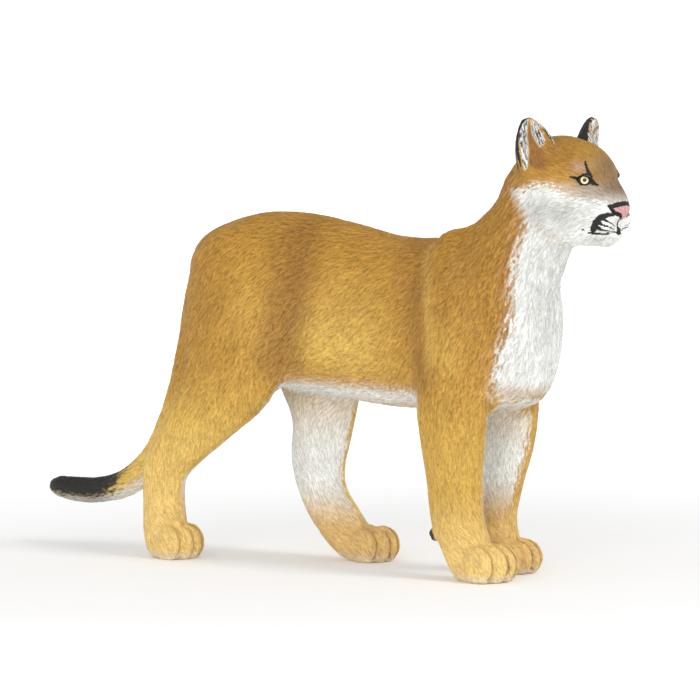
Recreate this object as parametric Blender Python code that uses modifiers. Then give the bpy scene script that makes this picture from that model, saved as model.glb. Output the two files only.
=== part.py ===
"""Toy cougar: a solid moulded vinyl figurine about 157 mm long.

The animal is modelled whole from lofted limbs and rounded masses, fused, smoothed
and carved, then parted by thin cuts into the lengths a person would name.
+X is forward, +Y the animal's left, +Z up, and the paws stand on z = 0.
"""
import math

import bmesh
import bpy
import numpy as np
from mathutils import Matrix, Vector

# Sizes below are in millimetres. MM turns them into metres at the end.
MM = 0.001
NAME = "toy_cougar"
# The body was laid out from the photograph; this shift puts its box over the origin.
CENTRE_X = 0.35

# Fusing, smoothing and thinning
COARSE_VOXEL = 0.85
BLEND_RADIUS = 2.2
COARSE_ROUNDS = 22
VOXEL = 0.42
LOFT_STEPS = 5
RING_SEGMENTS = 40
BALL_SEGMENTS = 28
BALL_RINGS = 18
EYE_SEGMENTS = 20
EYE_RINGS = 12
SMOOTH_ROUNDS = 24
SMOOTH_PUSH = 0.60
SMOOTH_PULL = -0.62
HEAD_SMOOTHING = 0.40
PAW_SMOOTHING = 0.45
FLESH_TRIANGLES = 9400
KEEP_HEAD = 0.24
# Where head and paws begin: a slanted head plane, the height of the paws, the tail behind
HEAD_SLOPE = (0.55, 0.84)
HEAD_RAMP = (99.0, 106.0)
HEAD_LEVEL = 60.0
PAW_RAMP = (7.0, 15.0)
TAIL_LIMIT = -46.0
KEEP_PAW = 0.30

# Parting
CUT_GAP = 0.30
SHARP_ANGLE = 50.0
FLOOR_BLOCK = (200.0, 60.0, 4.0)
DISC_SEGMENTS = 48
CUP_SEGMENTS = 24
CUP_RINGS = 16

# Trunk sections from rump to breast: x, top, bottom, half width
TRUNK = (
    (-34.7, 67.2, 57.5, 3.5),
    (-31.5, 70.7, 50.0, 7.0),
    (-25.0, 73.4, 43.5, 10.4),
    (-15.0, 75.6, 38.5, 12.0),
    (-3.0, 75.4, 37.0, 11.3),
    (9.0, 73.4, 35.6, 11.2),
    (21.0, 71.0, 34.6, 12.2),
    (33.0, 71.0, 34.8, 12.3),
    (42.0, 73.1, 35.4, 11.6),
    (51.0, 71.6, 35.5, 10.4),
    (56.8, 68.0, 37.8, 8.4),
    (58.9, 62.0, 46.5, 5.0),
)

# Neck stations: x, z, half width, half depth
NECK = (
    (44.5, 58.0, 11.6, 13.0),
    (50.0, 66.5, 10.6, 11.4),
    (55.2, 73.5, 9.6, 9.3),
    (58.8, 80.0, 9.2, 9.6),
    (60.6, 84.0, 8.4, 8.6),
)

# Tail centre line from root to tip: x, z, radius
TAIL = (
    (-27.0, 66.5, 4.8),
    (-32.6, 60.0, 4.1),
    (-35.2, 52.5, 3.6),
    (-37.0, 45.0, 3.4),
    (-39.2, 37.0, 3.4),
    (-42.6, 28.5, 3.4),
    (-47.6, 20.6, 3.3),
    (-55.2, 15.0, 3.1),
    (-63.2, 12.8, 2.9),
    (-70.0, 12.5, 2.8),
    (-75.4, 12.9, 2.4),
    (-77.9, 13.1, 1.4),
)

# Legs from the top down: x, y (left side), z, half width, half depth
LEGS = {
    "foreleg_right": (
        (40.0, 8.0, 58.0, 5.2, 8.5),
        (41.0, 8.7, 47.0, 5.2, 9.2),
        (41.0, 9.0, 38.0, 5.0, 9.0),
        (41.2, 9.0, 29.0, 4.7, 7.9),
        (41.6, 8.9, 21.0, 4.4, 6.7),
        (42.2, 8.8, 13.0, 4.4, 6.2),
        (44.0, 8.8, 8.5, 4.7, 5.6),
        (45.9, 8.6, 4.0, 4.9, 5.0),
        (47.2, 8.6, 1.0, 4.6, 4.0),
    ),
    "foreleg_left": (
        (40.0, 8.0, 58.0, 5.2, 8.5),
        (41.0, 8.7, 47.0, 5.2, 9.2),
        (41.0, 9.0, 38.0, 5.0, 8.9),
        (40.8, 9.0, 29.0, 4.7, 8.0),
        (39.6, 9.0, 21.0, 4.4, 6.5),
        (38.4, 9.0, 13.0, 4.2, 5.6),
        (38.6, 9.0, 8.5, 4.6, 5.6),
        (39.8, 9.1, 4.0, 4.9, 5.6),
        (40.8, 9.2, 1.0, 4.6, 4.6),
    ),
    "hindleg_right": (
        (-19.0, 7.0, 62.0, 5.4, 11.0),
        (-17.8, 8.2, 52.0, 5.6, 14.0),
        (-18.6, 9.0, 42.5, 5.4, 13.2),
        (-24.0, 9.6, 34.0, 4.9, 9.3),
        (-30.6, 10.0, 26.6, 4.3, 6.9),
        (-36.0, 10.0, 20.0, 3.9, 5.6),
        (-36.6, 10.0, 13.0, 3.7, 5.2),
        (-36.2, 10.0, 6.0, 4.1, 5.5),
        (-35.6, 10.0, 1.5, 4.0, 4.6),
    ),
    "hindleg_left": (
        (-14.0, 7.0, 61.0, 5.4, 11.0),
        (-10.8, 8.2, 50.0, 5.6, 13.0),
        (-8.4, 9.0, 40.0, 5.4, 11.4),
        (-8.1, 9.8, 30.0, 4.8, 7.9),
        (-9.6, 10.2, 21.5, 4.3, 6.9),
        (-8.2, 10.4, 14.0, 3.9, 5.7),
        (-3.4, 10.6, 7.5, 4.0, 5.4),
        (1.0, 10.8, 3.0, 4.2, 4.4),
    ),
}

# Paws: centre x, y, half length, half width, instep height
FOREPAW = (7.6, 5.9, 8.2)
FAR_FOREPAW = (7.8, 5.9, 7.6)
HINDPAW = (6.9, 5.2, 8.0)
PAWS = {
    "forepaw_right": (48.5, -8.6, FOREPAW),
    "forepaw_left": (41.6, 9.3, FAR_FOREPAW),
    "hindpaw_right": (-34.2, -10.0, HINDPAW),
    "hindpaw_left": (3.4, 11.0, HINDPAW),
}
TOES = 4
# Paw forms as shares of length, width and height: place, then half sizes
HEEL = ((-0.10, 0.38), (0.84, 0.88, 0.52))
INSTEP = ((-0.10, 0.52), (0.72, 0.76, 0.48))
INSTEP_LEAN = -6.0
TOE_PLACE = (0.42, 0.66, 0.43)
TOE_HALF = (0.58, 0.39, 0.52)
TOE_SETBACK = 0.20
TOE_LEAN = 6.0
TOE_FAN = 10.0
# Toe crease: shares along and up the instep, then where it turns down the front
CREASE_TOP = ((0.12, 0.98), (0.52, 0.92))
CREASE_FRONT = (0.86, 0.62)
CREASE_SETBACK = 0.22
CREASE_FOOT = 0.08
CREASE_FLARE = (0.3, 0.4)

# Rounded masses: centre (left side), half sizes along x, y, z, lean about Y in degrees
PAIRED_MASSES = {
    "shoulder": ((38.5, 6.4, 57.5), (9.0, 6.4, 16.0), 12.0),
    "upper_arm": ((43.0, 8.0, 46.5), (9.0, 5.0, 9.5), 0.0),
    "haunch": ((-18.0, 6.4, 56.0), (14.2, 6.2, 17.0), -10.0),
    "jowl": ((62.8, 4.9, 78.2), (7.2, 4.8, 6.4), 0.0),
}
FACE_PAIRS = {
    "cheek_bone": ((66.6, 4.1, 80.2), (6.0, 4.1, 4.2), 14.0),
    "brow": ((70.1, 4.4, 86.0), (4.4, 2.5, 1.7), 34.0),
    "muzzle_side": ((72.4, 3.0, 77.2), (4.6, 2.6, 3.8), 26.0),
    "whisker_pad": ((74.3, 2.7, 75.2), (3.1, 2.5, 2.8), 0.0),
}
CENTRE_MASSES = {
    "cranium": ((62.4, 0.0, 82.9), (10.8, 9.2, 9.6), 0.0),
    "forehead": ((67.4, 0.0, 84.7), (7.7, 7.1, 6.5), 30.0),
    "breast": ((51.4, 0.0, 49.6), (6.9, 8.6, 14.4), 1.0),
    "chin": ((73.2, 0.0, 72.1), (3.2, 3.6, 2.7), 0.0),
}
FACE_CENTRE = {
    "nose": ((76.9, 0.0, 77.2), (1.9, 3.0, 1.9), 0.0),
    "lower_lip": ((74.7, 0.0, 72.5), (2.3, 2.9, 1.9), 0.0),
}
MUZZLE = (
    (62.0, 82.0, 8.0, 8.6),
    (69.5, 79.6, 6.3, 7.6),
    (74.0, 77.9, 4.6, 5.4),
    (77.0, 76.6, 3.4, 3.2),
)
JAW = (
    (60.0, 75.0, 7.0, 6.0),
    (67.0, 73.8, 5.4, 4.2),
    (73.5, 72.4, 3.6, 2.8),
)

# Eyes
EYE_CENTRE = (70.9, 4.0, 83.35)
EYE_RADIUS = 1.7
SOCKET_GAP = 0.30

# Ears: stations up the ear as height, half width, half depth
EAR_FOOT = (62.8, 6.7, 83.0)
EAR_RISE = (
    (-3.0, 1.6, 1.6),
    (0.0, 3.7, 3.0),
    (4.6, 4.9, 3.3),
    (9.4, 4.0, 2.4),
    (12.2, 2.5, 1.7),
    (13.9, 1.1, 0.9),
)
EAR_TURN = 23.0
EAR_OUT = 22.0
EAR_BACK = -4.0
CUP_CENTRE = (2.7, 0.0, 8.0)
CUP_HALF = (2.6, 3.9, 5.0)
CUP_LEAN = -4.0

# Carved lines (left side): path, half width, depth
MOUTH = ((79.0, 0.0, 74.2), (77.6, 1.2, 72.9), (75.6, 3.2, 72.6), (73.2, 4.6, 73.0), (71.2, 5.6, 73.4))
PHILTRUM = ((79.0, 0.0, 76.0), (78.6, 0.0, 73.4))
PHILTRUM_WIDTH = 0.7
PHILTRUM_DEPTH = 0.45
TOE_CREASE_WIDTH = 0.95
TOE_CREASE_DEPTH = 0.35
NOSTRIL = ((78.6, 1.5, 76.6), (78.0, 2.1, 77.2))
CARVED_PAIRS = {
    "mouth": (MOUTH, 0.85, 0.45),
    "nostril": (NOSTRIL, 0.75, 0.60),
    "eye_hollow": (((69.8, 6.4, 83.8), (71.8, 5.2, 83.4), (74.0, 3.8, 81.8)), 1.8, 0.35),
    "behind_shoulder": (((31.0, 13.6, 44.0), (30.5, 13.0, 56.0), (33.0, 11.0, 66.0)), 5.5, 0.80),
    "before_thigh": (((-1.0, 13.0, 44.0), (0.5, 12.4, 56.0), (-1.0, 10.5, 66.0)), 5.5, 0.60),
    "arm_groove": (((45.0, 14.0, 52.0), (49.0, 13.0, 44.0)), 3.0, 0.40),
}

# Cuts: centre, normal, radius along the first and second disc axis
CUTS = {
    "neck_base": ((49.0, 0.0, 64.5), (0.62, 0.0, 0.78), (22.0, 22.0)),
    "head_base": ((59.2, 0.0, 76.8), (0.80, 0.0, 0.60), (15.0, 15.0)),
    "tail_root": ((-36.1, 0.0, 48.8), (-0.20, 0.0, -0.98), (4.7, 4.7)),
    "tail_middle": ((-41.4, 0.0, 31.0), (-0.42, 0.0, -0.91), (5.5, 5.5)),
    "tail_tip": ((-61.0, 0.0, 13.0), (-0.97, 0.0, -0.20), (5.5, 5.5)),
}
PAIRED_CUTS = {
    "foreleg": ((41.0, 9.0, 36.8), (0.0, 0.62, -0.78), (14.0, 9.0)),
    "ear": ((62.0, 8.6, 89.4), (0.0, 0.62, 0.78), (6.8, 5.8)),
}
LEG_CUTS = {
    "hindleg_right": ((-20.0, -9.6, 38.5), (-0.25, -0.50, -0.83), (16.5, 10.5)),
    "hindleg_left": ((-8.2, 9.6, 37.4), (-0.05, 0.50, -0.86), (15.0, 9.5)),
    "forepaw_right": ((43.0, -8.8, 9.2), (0.25, 0.0, -0.97), (9.5, 7.5)),
    "forepaw_left": ((38.7, 9.0, 9.2), (0.10, 0.0, -0.99), (8.5, 7.5)),
    "hindpaw_right": ((-36.8, -10.0, 9.0), (0.05, 0.0, -1.0), (7.5, 7.0)),
    "hindpaw_left": ((-5.2, 10.6, 8.8), (0.55, 0.0, -0.83), (7.5, 7.0)),
}

# Each node: a point inside the part, colour, roughness
NODES = {
    "torso": ((10.0, 0.0, 55.0), (0.52, 0.29, 0.062), 0.62),
    "neck": ((53.0, 0.0, 70.5), (0.50, 0.31, 0.10), 0.62),
    "head": ((66.0, 0.0, 81.0), (0.50, 0.33, 0.15), 0.60),
    "ear_right": ((60.6, -10.0, 92.0), (0.40, 0.34, 0.30), 0.62),
    "ear_left": ((60.6, 10.0, 92.0), (0.40, 0.34, 0.30), 0.62),
    "tail_root": ((-38.4, 0.0, 40.0), (0.60, 0.36, 0.09), 0.62),
    "tail_middle": ((-49.8, 0.0, 19.5), (0.72, 0.48, 0.15), 0.62),
    "tail_tip": ((-70.0, 0.0, 12.3), (0.035, 0.034, 0.030), 0.55),
    "foreleg_right": ((41.4, -9.0, 25.0), (0.65, 0.41, 0.11), 0.62),
    "foreleg_left": ((40.4, 9.0, 25.0), (0.66, 0.47, 0.21), 0.62),
    "hindleg_right": ((-30.2, -10.0, 26.6), (0.70, 0.47, 0.13), 0.62),
    "hindleg_left": ((-9.6, 10.0, 26.0), (0.74, 0.66, 0.50), 0.62),
    "forepaw_right": ((47.9, -8.6, 4.0), (0.77, 0.54, 0.21), 0.62),
    "forepaw_left": ((41.8, 9.3, 4.0), (0.77, 0.54, 0.21), 0.62),
    "hindpaw_right": ((-34.2, -10.0, 4.0), (0.79, 0.55, 0.20), 0.62),
    "hindpaw_left": ((4.6, 11.0, 4.0), (0.79, 0.55, 0.20), 0.62),
}
EYE_COLOUR = (0.70, 0.55, 0.16)
EYE_ROUGHNESS = 0.18


def add_object(name, bm, collection):
    """Store a bmesh as an object of the given collection."""
    mesh = bpy.data.meshes.new(name)
    bmesh.ops.recalc_face_normals(bm, faces=bm.faces)
    bm.to_mesh(mesh)
    bm.free()
    item = bpy.data.objects.new(name, mesh)
    collection.objects.link(item)
    return item


def apply_modifiers(item):
    """Replace the object's mesh by its modified one."""
    depsgraph = bpy.context.evaluated_depsgraph_get()
    mesh = bpy.data.meshes.new_from_object(item.evaluated_get(depsgraph))
    item.modifiers.clear()
    item.data = mesh


def between(stations):
    """Fill in stations along a smooth curve through the given ones."""
    table = np.array(stations, dtype=float)
    padded = np.vstack((2 * table[0] - table[1], table, 2 * table[-1] - table[-2]))
    rows = []
    for index in range(len(table) - 1):
        before, start, end, after = padded[index:index + 4]
        for step in range(LOFT_STEPS):
            t = step / LOFT_STEPS
            rows.append(0.5 * (2 * start + (end - before) * t
                               + (2 * before - 5 * start + 4 * end - after) * t ** 2
                               + (3 * start - before - 3 * end + after) * t ** 3))
    rows.append(table[-1])
    return rows


def bridge_rings(bm, matrices):
    """Bridge unit circles placed by the matrices into one capped tube."""
    previous = None
    last = len(matrices) - 1
    for index, matrix in enumerate(matrices):
        ring = bmesh.ops.create_circle(
            bm, cap_ends=index in (0, last), segments=RING_SEGMENTS, radius=1.0, matrix=matrix)
        edges = list({edge for vert in ring["verts"] for edge in vert.link_edges})
        if previous is not None:
            bmesh.ops.bridge_loops(bm, edges=previous + edges)
        previous = edges


def loft(bm, stations):
    """Tube through stations x, y, z, half width, half depth, set square to its path."""
    rows = between(stations)
    last = len(rows) - 1
    matrices = []
    for index, (x, y, z, half_width, half_depth) in enumerate(rows):
        ahead = Vector(rows[min(index + 1, last)][:3] - rows[max(index - 1, 0)][:3]).normalized()
        depth_axis = ahead.cross(Vector((0.0, 1.0, 0.0))).normalized()
        side_axis = depth_axis.cross(ahead)
        frame = Matrix((side_axis * half_width, depth_axis * half_depth, ahead)).transposed()
        matrices.append(Matrix.Translation((x, y, z)) @ frame.to_4x4())
    bridge_rings(bm, matrices)


def flat_loft(bm, stations):
    """Tube on the middle plane from stations x, z, half width, half depth."""
    loft(bm, [(x, 0.0, z, half_width, half_depth) for x, z, half_width, half_depth in stations])


def trunk(bm):
    """Upright elliptical sections from rump to breast."""
    matrices = []
    for x, top, bottom, half_width in between(TRUNK):
        size = Matrix.Diagonal(((top - bottom) / 2, half_width, 1.0, 1.0))
        stand = Matrix.Rotation(math.radians(90), 4, "Y")
        matrices.append(Matrix.Translation((x, 0.0, (top + bottom) / 2)) @ stand @ size)
    bridge_rings(bm, matrices)


def ellipsoid(bm, centre, half, lean=0.0, turn=0.0):
    """Scaled ball, leaned about Y and then turned about Z (degrees)."""
    matrix = (Matrix.Translation(centre) @ Matrix.Rotation(math.radians(turn), 4, "Z")
              @ Matrix.Rotation(math.radians(lean), 4, "Y") @ Matrix.Diagonal((*half, 1.0)))
    bmesh.ops.create_uvsphere(bm, u_segments=BALL_SEGMENTS, v_segments=BALL_RINGS, radius=1.0,
                              matrix=matrix)


def toe_spread(index):
    """Place of a toe across the paw, from -1 to 1."""
    return (index - (TOES - 1) / 2) / ((TOES - 1) / 2)


def paw(bm, x, y, size):
    """Instep, heel and four rounded toes."""
    length, width, height = size
    for (ahead, up), (long, wide, tall), lean in ((*HEEL, 0.0), (*INSTEP, INSTEP_LEAN)):
        ellipsoid(bm, (x + ahead * length, y, up * height),
                  (long * length, wide * width, tall * height), lean)
    ahead, aside, up = TOE_PLACE
    long, wide, tall = TOE_HALF
    for index in range(TOES):
        across = toe_spread(index)
        ellipsoid(bm, (x + (ahead - TOE_SETBACK * across ** 2) * length,
                       y + across * aside * width, up * height),
                  (long * length, wide * width, tall * height), TOE_LEAN, TOE_FAN * across)


def ear_frame(side):
    """Axes of an ear: X faces forward and out, Z runs up the ear."""
    x, y, z = EAR_FOOT
    return (Matrix.Translation((x, side * y, z))
            @ Matrix.Rotation(math.radians(-side * EAR_OUT), 4, "X")
            @ Matrix.Rotation(math.radians(EAR_BACK), 4, "Y")
            @ Matrix.Rotation(math.radians(side * EAR_TURN), 4, "Z"))


def ear(bm, side):
    """Tapering cup body, still solid."""
    matrices = []
    for height, half_width, half_depth in between(EAR_RISE):
        matrices.append(ear_frame(side) @ Matrix.Translation((0.0, 0.0, height))
                        @ Matrix.Diagonal((half_depth, half_width, 1.0, 1.0)))
    bridge_rings(bm, matrices)


def revoxel(body, size):
    """Rebuild the closed surface of everything inside the object."""
    remesh = body.modifiers.new("Fuse", "REMESH")
    remesh.mode = "VOXEL"
    remesh.voxel_size = size
    apply_modifiers(body)


def swell(body, distance):
    """Move every vertex along its normal."""
    points, normals, _ = arrays(body.data)
    set_points(body.data, points + normals * distance)


def fuse_masses(collection):
    """Trunk, neck, head and legs, blended by swelling, fusing and shrinking back."""
    bm = bmesh.new()
    trunk(bm)
    flat_loft(bm, NECK)
    flat_loft(bm, MUZZLE)
    flat_loft(bm, JAW)
    for name, stations in LEGS.items():
        side = 1 if name.endswith("left") else -1
        loft(bm, [(x, side * y, z, wide, deep) for x, y, z, wide, deep in stations])
    for centre, half, lean in PAIRED_MASSES.values():
        for side in (-1, 1):
            ellipsoid(bm, (centre[0], side * centre[1], centre[2]), half, lean)
    for centre, half, lean in CENTRE_MASSES.values():
        ellipsoid(bm, centre, half, lean)
    body = add_object("flesh", bm, collection)
    revoxel(body, COARSE_VOXEL)
    swell(body, BLEND_RADIUS)
    revoxel(body, COARSE_VOXEL)
    swell(body, -BLEND_RADIUS)
    points, _, edges = arrays(body.data)
    set_points(body.data, relax(points, edges, np.ones(len(points)), COARSE_ROUNDS))
    return body


def fuse(collection):
    """Fuse the blended masses with paws, tail, ears and the small forms of the face."""
    body = fuse_masses(collection)
    bm = bmesh.new()
    flat_loft(bm, [(x, z, radius, radius) for x, z, radius in TAIL])
    for x, y, size in PAWS.values():
        paw(bm, x, y, size)
    for centre, half, lean in FACE_PAIRS.values():
        for side in (-1, 1):
            ellipsoid(bm, (centre[0], side * centre[1], centre[2]), half, lean)
    for centre, half, lean in FACE_CENTRE.values():
        ellipsoid(bm, centre, half, lean)
    for side in (-1, 1):
        ear(bm, side)
    bmesh.ops.recalc_face_normals(bm, faces=bm.faces)
    bm.from_mesh(body.data)
    bm.to_mesh(body.data)
    bm.free()
    revoxel(body, VOXEL)
    return body


def ramp(value, low, high):
    """Smooth step from 0 at low to 1 at high."""
    t = np.clip((value - low) / (high - low), 0.0, 1.0)
    return t * t * (3.0 - 2.0 * t)


def softness(points):
    """How strongly each vertex is smoothed: full on the body, little on head and paws."""
    x, z = points[:, 0], points[:, 2]
    head = ramp(x * HEAD_SLOPE[0] + z * HEAD_SLOPE[1], *HEAD_RAMP)
    feet = 1.0 - ramp(z, *PAW_RAMP)
    feet[x < TAIL_LIMIT] = 0.0
    return 1.0 - np.maximum(head * (1.0 - HEAD_SMOOTHING), feet * (1.0 - PAW_SMOOTHING))


def relax(points, edges, weight, rounds):
    """Even the surface by pushing toward the neighbours' mean and partly back."""
    count = np.bincount(edges.ravel(), minlength=len(points))[:, None]
    for round_index in range(2 * rounds):
        total = np.zeros_like(points)
        for axis in range(3):
            total[:, axis] = (
                np.bincount(edges[:, 0], points[edges[:, 1], axis], len(points))
                + np.bincount(edges[:, 1], points[edges[:, 0], axis], len(points)))
        share = SMOOTH_PUSH if round_index % 2 == 0 else SMOOTH_PULL
        points = points + share * weight[:, None] * (total / count - points)
    return points


def distance_to_path(points, path):
    """Shortest distance from each point to a polyline."""
    nearest = np.full(len(points), np.inf)
    for start, end in zip(path[:-1], path[1:]):
        start, end = np.array(start), np.array(end)
        run = end - start
        along = np.clip((points - start) @ run / (run @ run), 0.0, 1.0)
        gap = np.linalg.norm(points - start - along[:, None] * run, axis=1)
        nearest = np.minimum(nearest, gap)
    return nearest


def carve(points, normals, path, half_width, depth):
    """Press a soft groove along the path."""
    reach = np.clip(distance_to_path(points, path) / half_width, 0.0, 1.0)
    return points - normals * (depth * (1.0 - reach ** 2) ** 2)[:, None]


def toe_paths():
    """Creases between the toes, from the instep over the front to the floor."""
    paths = []
    for x, y, (length, width, height) in PAWS.values():
        for index in range(TOES - 1):
            across = toe_spread(index + 0.5)
            line = y + across * TOE_PLACE[1] * width
            reach = x + (CREASE_FRONT[0] - CREASE_SETBACK * across ** 2) * length
            path = [(x + along * length, line, up * height) for along, up in CREASE_TOP]
            path.append((reach, line + CREASE_FLARE[0] * across, CREASE_FRONT[1] * height))
            path.append((reach + CREASE_FOOT * length, line + CREASE_FLARE[1] * across, 0.0))
            paths.append(path)
    return paths


def arrays(mesh):
    """Vertex positions, vertex normals and edge ends as arrays."""
    points = np.empty(len(mesh.vertices) * 3)
    mesh.vertices.foreach_get("co", points)
    normals = np.empty(len(mesh.vertices) * 3)
    mesh.vertices.foreach_get("normal", normals)
    edges = np.empty(len(mesh.edges) * 2, dtype=np.int64)
    mesh.edges.foreach_get("vertices", edges)
    return points.reshape(-1, 3), normals.reshape(-1, 3), edges.reshape(-1, 2)


def set_points(mesh, points):
    mesh.vertices.foreach_set("co", points.ravel())
    mesh.update()


def sculpt(body):
    """Smooth the fused body and carve its lines."""
    points, _, edges = arrays(body.data)
    set_points(body.data, relax(points, edges, softness(points), SMOOTH_ROUNDS))
    points, normals, _ = arrays(body.data)
    for path, half_width, depth in CARVED_PAIRS.values():
        for side in (-1, 1):
            mirrored = [(x, side * y, z) for x, y, z in path]
            points = carve(points, normals, mirrored, half_width, depth)
    points = carve(points, normals, PHILTRUM, PHILTRUM_WIDTH, PHILTRUM_DEPTH)
    for path in toe_paths():
        points = carve(points, normals, path, TOE_CREASE_WIDTH, TOE_CREASE_DEPTH)
    set_points(body.data, relax(points, edges, np.ones(len(points)), 1))


def thin_out(body):
    """Thin the mesh, keeping more triangles on the head and paws."""
    mesh = body.data
    points, _, _ = arrays(mesh)
    soft = softness(points)
    head = points[:, 2] > HEAD_LEVEL
    keep = np.where(head, KEEP_HEAD, KEEP_PAW)
    weight = soft + (1.0 - soft) * keep
    group = body.vertex_groups.new(name="thinning")
    for value in np.unique(np.round(weight, 1)):
        chosen = np.flatnonzero(np.round(weight, 1) == value)
        group.add([int(index) for index in chosen], float(value), "REPLACE")
    triangles = sum(len(face.vertices) - 2 for face in mesh.polygons)
    thin = body.modifiers.new("Thin", "DECIMATE")
    thin.ratio = FLESH_TRIANGLES / triangles
    thin.vertex_group = group.name
    thin.vertex_group_factor = 1.0
    apply_modifiers(body)


def disc(collection, name, centre, normal, radii):
    """Thin round cutter square to the normal."""
    bm = bmesh.new()
    turn = Vector(normal).to_track_quat("Z", "Y").to_matrix().to_4x4()
    matrix = (Matrix.Translation(centre) @ turn
              @ Matrix.Diagonal((radii[0], radii[1], 1.0, 1.0)))
    bmesh.ops.create_cone(bm, cap_ends=True, cap_tris=False, segments=DISC_SEGMENTS, radius1=1.0,
                          radius2=1.0, depth=CUT_GAP, matrix=matrix)
    add_cutter("cut_" + name, bm, collection)


def add_cutter(name, bm, collection):
    item = add_object(name, bm, collection)
    item.hide_render = True
    item.display_type = "WIRE"


def make_cutters(collection):
    """Parting discs, floor block, ear cups and eye sockets."""
    for name, (centre, normal, radii) in (CUTS | LEG_CUTS).items():
        disc(collection, name, centre, normal, radii)
    for name, (centre, normal, radii) in PAIRED_CUTS.items():
        for side, label in ((-1, "right"), (1, "left")):
            disc(collection, name + "_" + label, (centre[0], side * centre[1], centre[2]),
                 (normal[0], side * normal[1], normal[2]), radii)
    for side, label in ((-1, "right"), (1, "left")):
        bm = bmesh.new()
        cup = (ear_frame(side) @ Matrix.Translation(CUP_CENTRE)
               @ Matrix.Rotation(math.radians(CUP_LEAN), 4, "Y") @ Matrix.Diagonal((*CUP_HALF, 1.0)))
        bmesh.ops.create_uvsphere(bm, u_segments=CUP_SEGMENTS, v_segments=CUP_RINGS, radius=1.0,
                                  matrix=cup)
        add_cutter("cup_" + label, bm, collection)
        bm = bmesh.new()
        radius = EYE_RADIUS + SOCKET_GAP
        ellipsoid(bm, (EYE_CENTRE[0], side * EYE_CENTRE[1], EYE_CENTRE[2]), (radius,) * 3)
        add_cutter("socket_" + label, bm, collection)
    bm = bmesh.new()
    block = (Matrix.Translation((0.0, 0.0, -FLOOR_BLOCK[2] / 2))
             @ Matrix.Diagonal((*FLOOR_BLOCK, 1.0)))
    bmesh.ops.create_cube(bm, size=1.0, matrix=block)
    add_cutter("floor_block", bm, collection)


def part_body(body, cutters):
    """Take all cutters away from the body in one Boolean."""
    cut = body.modifiers.new("Part", "BOOLEAN")
    cut.operation = "DIFFERENCE"
    cut.solver = "EXACT"
    cut.operand_type = "COLLECTION"
    cut.collection = cutters
    apply_modifiers(body)


def split_nodes(body, collection):
    """Separate the loose pieces and name each after the nearest listed point."""
    view = bpy.context.view_layer
    view.objects.active = body
    body.select_set(True)
    bpy.ops.object.mode_set(mode="EDIT")
    bpy.ops.mesh.select_all(action="SELECT")
    bpy.ops.mesh.quads_convert_to_tris(quad_method="BEAUTY", ngon_method="BEAUTY")
    bpy.ops.mesh.separate(type="LOOSE")
    bpy.ops.object.mode_set(mode="OBJECT")
    for item in list(collection.objects):
        points, _, _ = arrays(item.data)
        middle = Vector(points.mean(axis=0))
        name = min(NODES, key=lambda key: (middle - Vector(NODES[key][0])).length)
        item.name = name
        item.data.name = name
        item.vertex_groups.clear()
        item.data.materials.clear()
        item.data.materials.append(material(name, *NODES[name][1:]))


def material(name, colour, roughness):
    made = bpy.data.materials.new(name)
    made.use_nodes = True
    shader = made.node_tree.nodes["Principled BSDF"]
    shader.inputs["Base Color"].default_value = (*colour, 1.0)
    shader.inputs["Roughness"].default_value = roughness
    shader.inputs["Metallic"].default_value = 0.0
    return made


def add_eyes(collection):
    for side, label in ((-1, "right"), (1, "left")):
        bm = bmesh.new()
        place = Matrix.Translation((EYE_CENTRE[0], side * EYE_CENTRE[1], EYE_CENTRE[2]))
        bmesh.ops.create_uvsphere(bm, u_segments=EYE_SEGMENTS, v_segments=EYE_RINGS,
                                  radius=EYE_RADIUS, matrix=place)
        item = add_object("eye_" + label, bm, collection)
        item.data.materials.append(material(item.name, EYE_COLOUR, EYE_ROUGHNESS))


def to_metres(collection):
    """Scale to metres and put the box over the origin."""
    for item in collection.objects:
        item.data.transform(Matrix.Scale(MM, 4) @ Matrix.Translation((-CENTRE_X, 0.0, 0.0)))
        item.data.shade_smooth()
        item.data.set_sharp_from_angle(angle=math.radians(SHARP_ANGLE))


def main():
    for item in list(bpy.data.objects):
        bpy.data.objects.remove(item, do_unlink=True)
    parts = bpy.data.collections.new(NAME)
    cutters = bpy.data.collections.new(NAME + "_cutters")
    bpy.context.scene.collection.children.link(parts)
    bpy.context.scene.collection.children.link(cutters)
    body = fuse(parts)
    sculpt(body)
    thin_out(body)
    make_cutters(cutters)
    part_body(body, cutters)
    split_nodes(body, parts)
    add_eyes(parts)
    to_metres(parts)
    to_metres(cutters)


main()
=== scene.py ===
# %% [markdown]
# # A moulded toy cougar
# The real object is a hand-sized vinyl animal: one moulded body with fur strokes
# cut into its mould, and paint sprayed and brushed over it. This lesson dresses
# the measured model with a skin, the fur relief and the paint, and lights it
# like a catalogue picture.

# %% Load the measured model
import math

import bmesh
import bpy
import numpy as np
from mathutils import Matrix, Vector, kdtree


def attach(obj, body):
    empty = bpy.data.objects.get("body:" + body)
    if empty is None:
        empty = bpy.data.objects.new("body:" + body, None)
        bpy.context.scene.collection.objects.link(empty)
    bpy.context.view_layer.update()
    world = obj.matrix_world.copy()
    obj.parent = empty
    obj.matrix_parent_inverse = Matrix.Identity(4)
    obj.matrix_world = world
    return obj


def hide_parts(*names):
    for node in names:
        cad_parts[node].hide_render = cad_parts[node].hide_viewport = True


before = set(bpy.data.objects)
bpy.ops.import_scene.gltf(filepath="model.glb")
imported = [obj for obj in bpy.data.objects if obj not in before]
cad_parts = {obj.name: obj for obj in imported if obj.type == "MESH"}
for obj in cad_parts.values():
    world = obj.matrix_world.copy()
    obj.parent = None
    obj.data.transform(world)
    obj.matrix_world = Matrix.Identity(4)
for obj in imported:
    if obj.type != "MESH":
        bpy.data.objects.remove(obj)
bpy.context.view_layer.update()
MM = 0.001
SEED = 7

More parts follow.
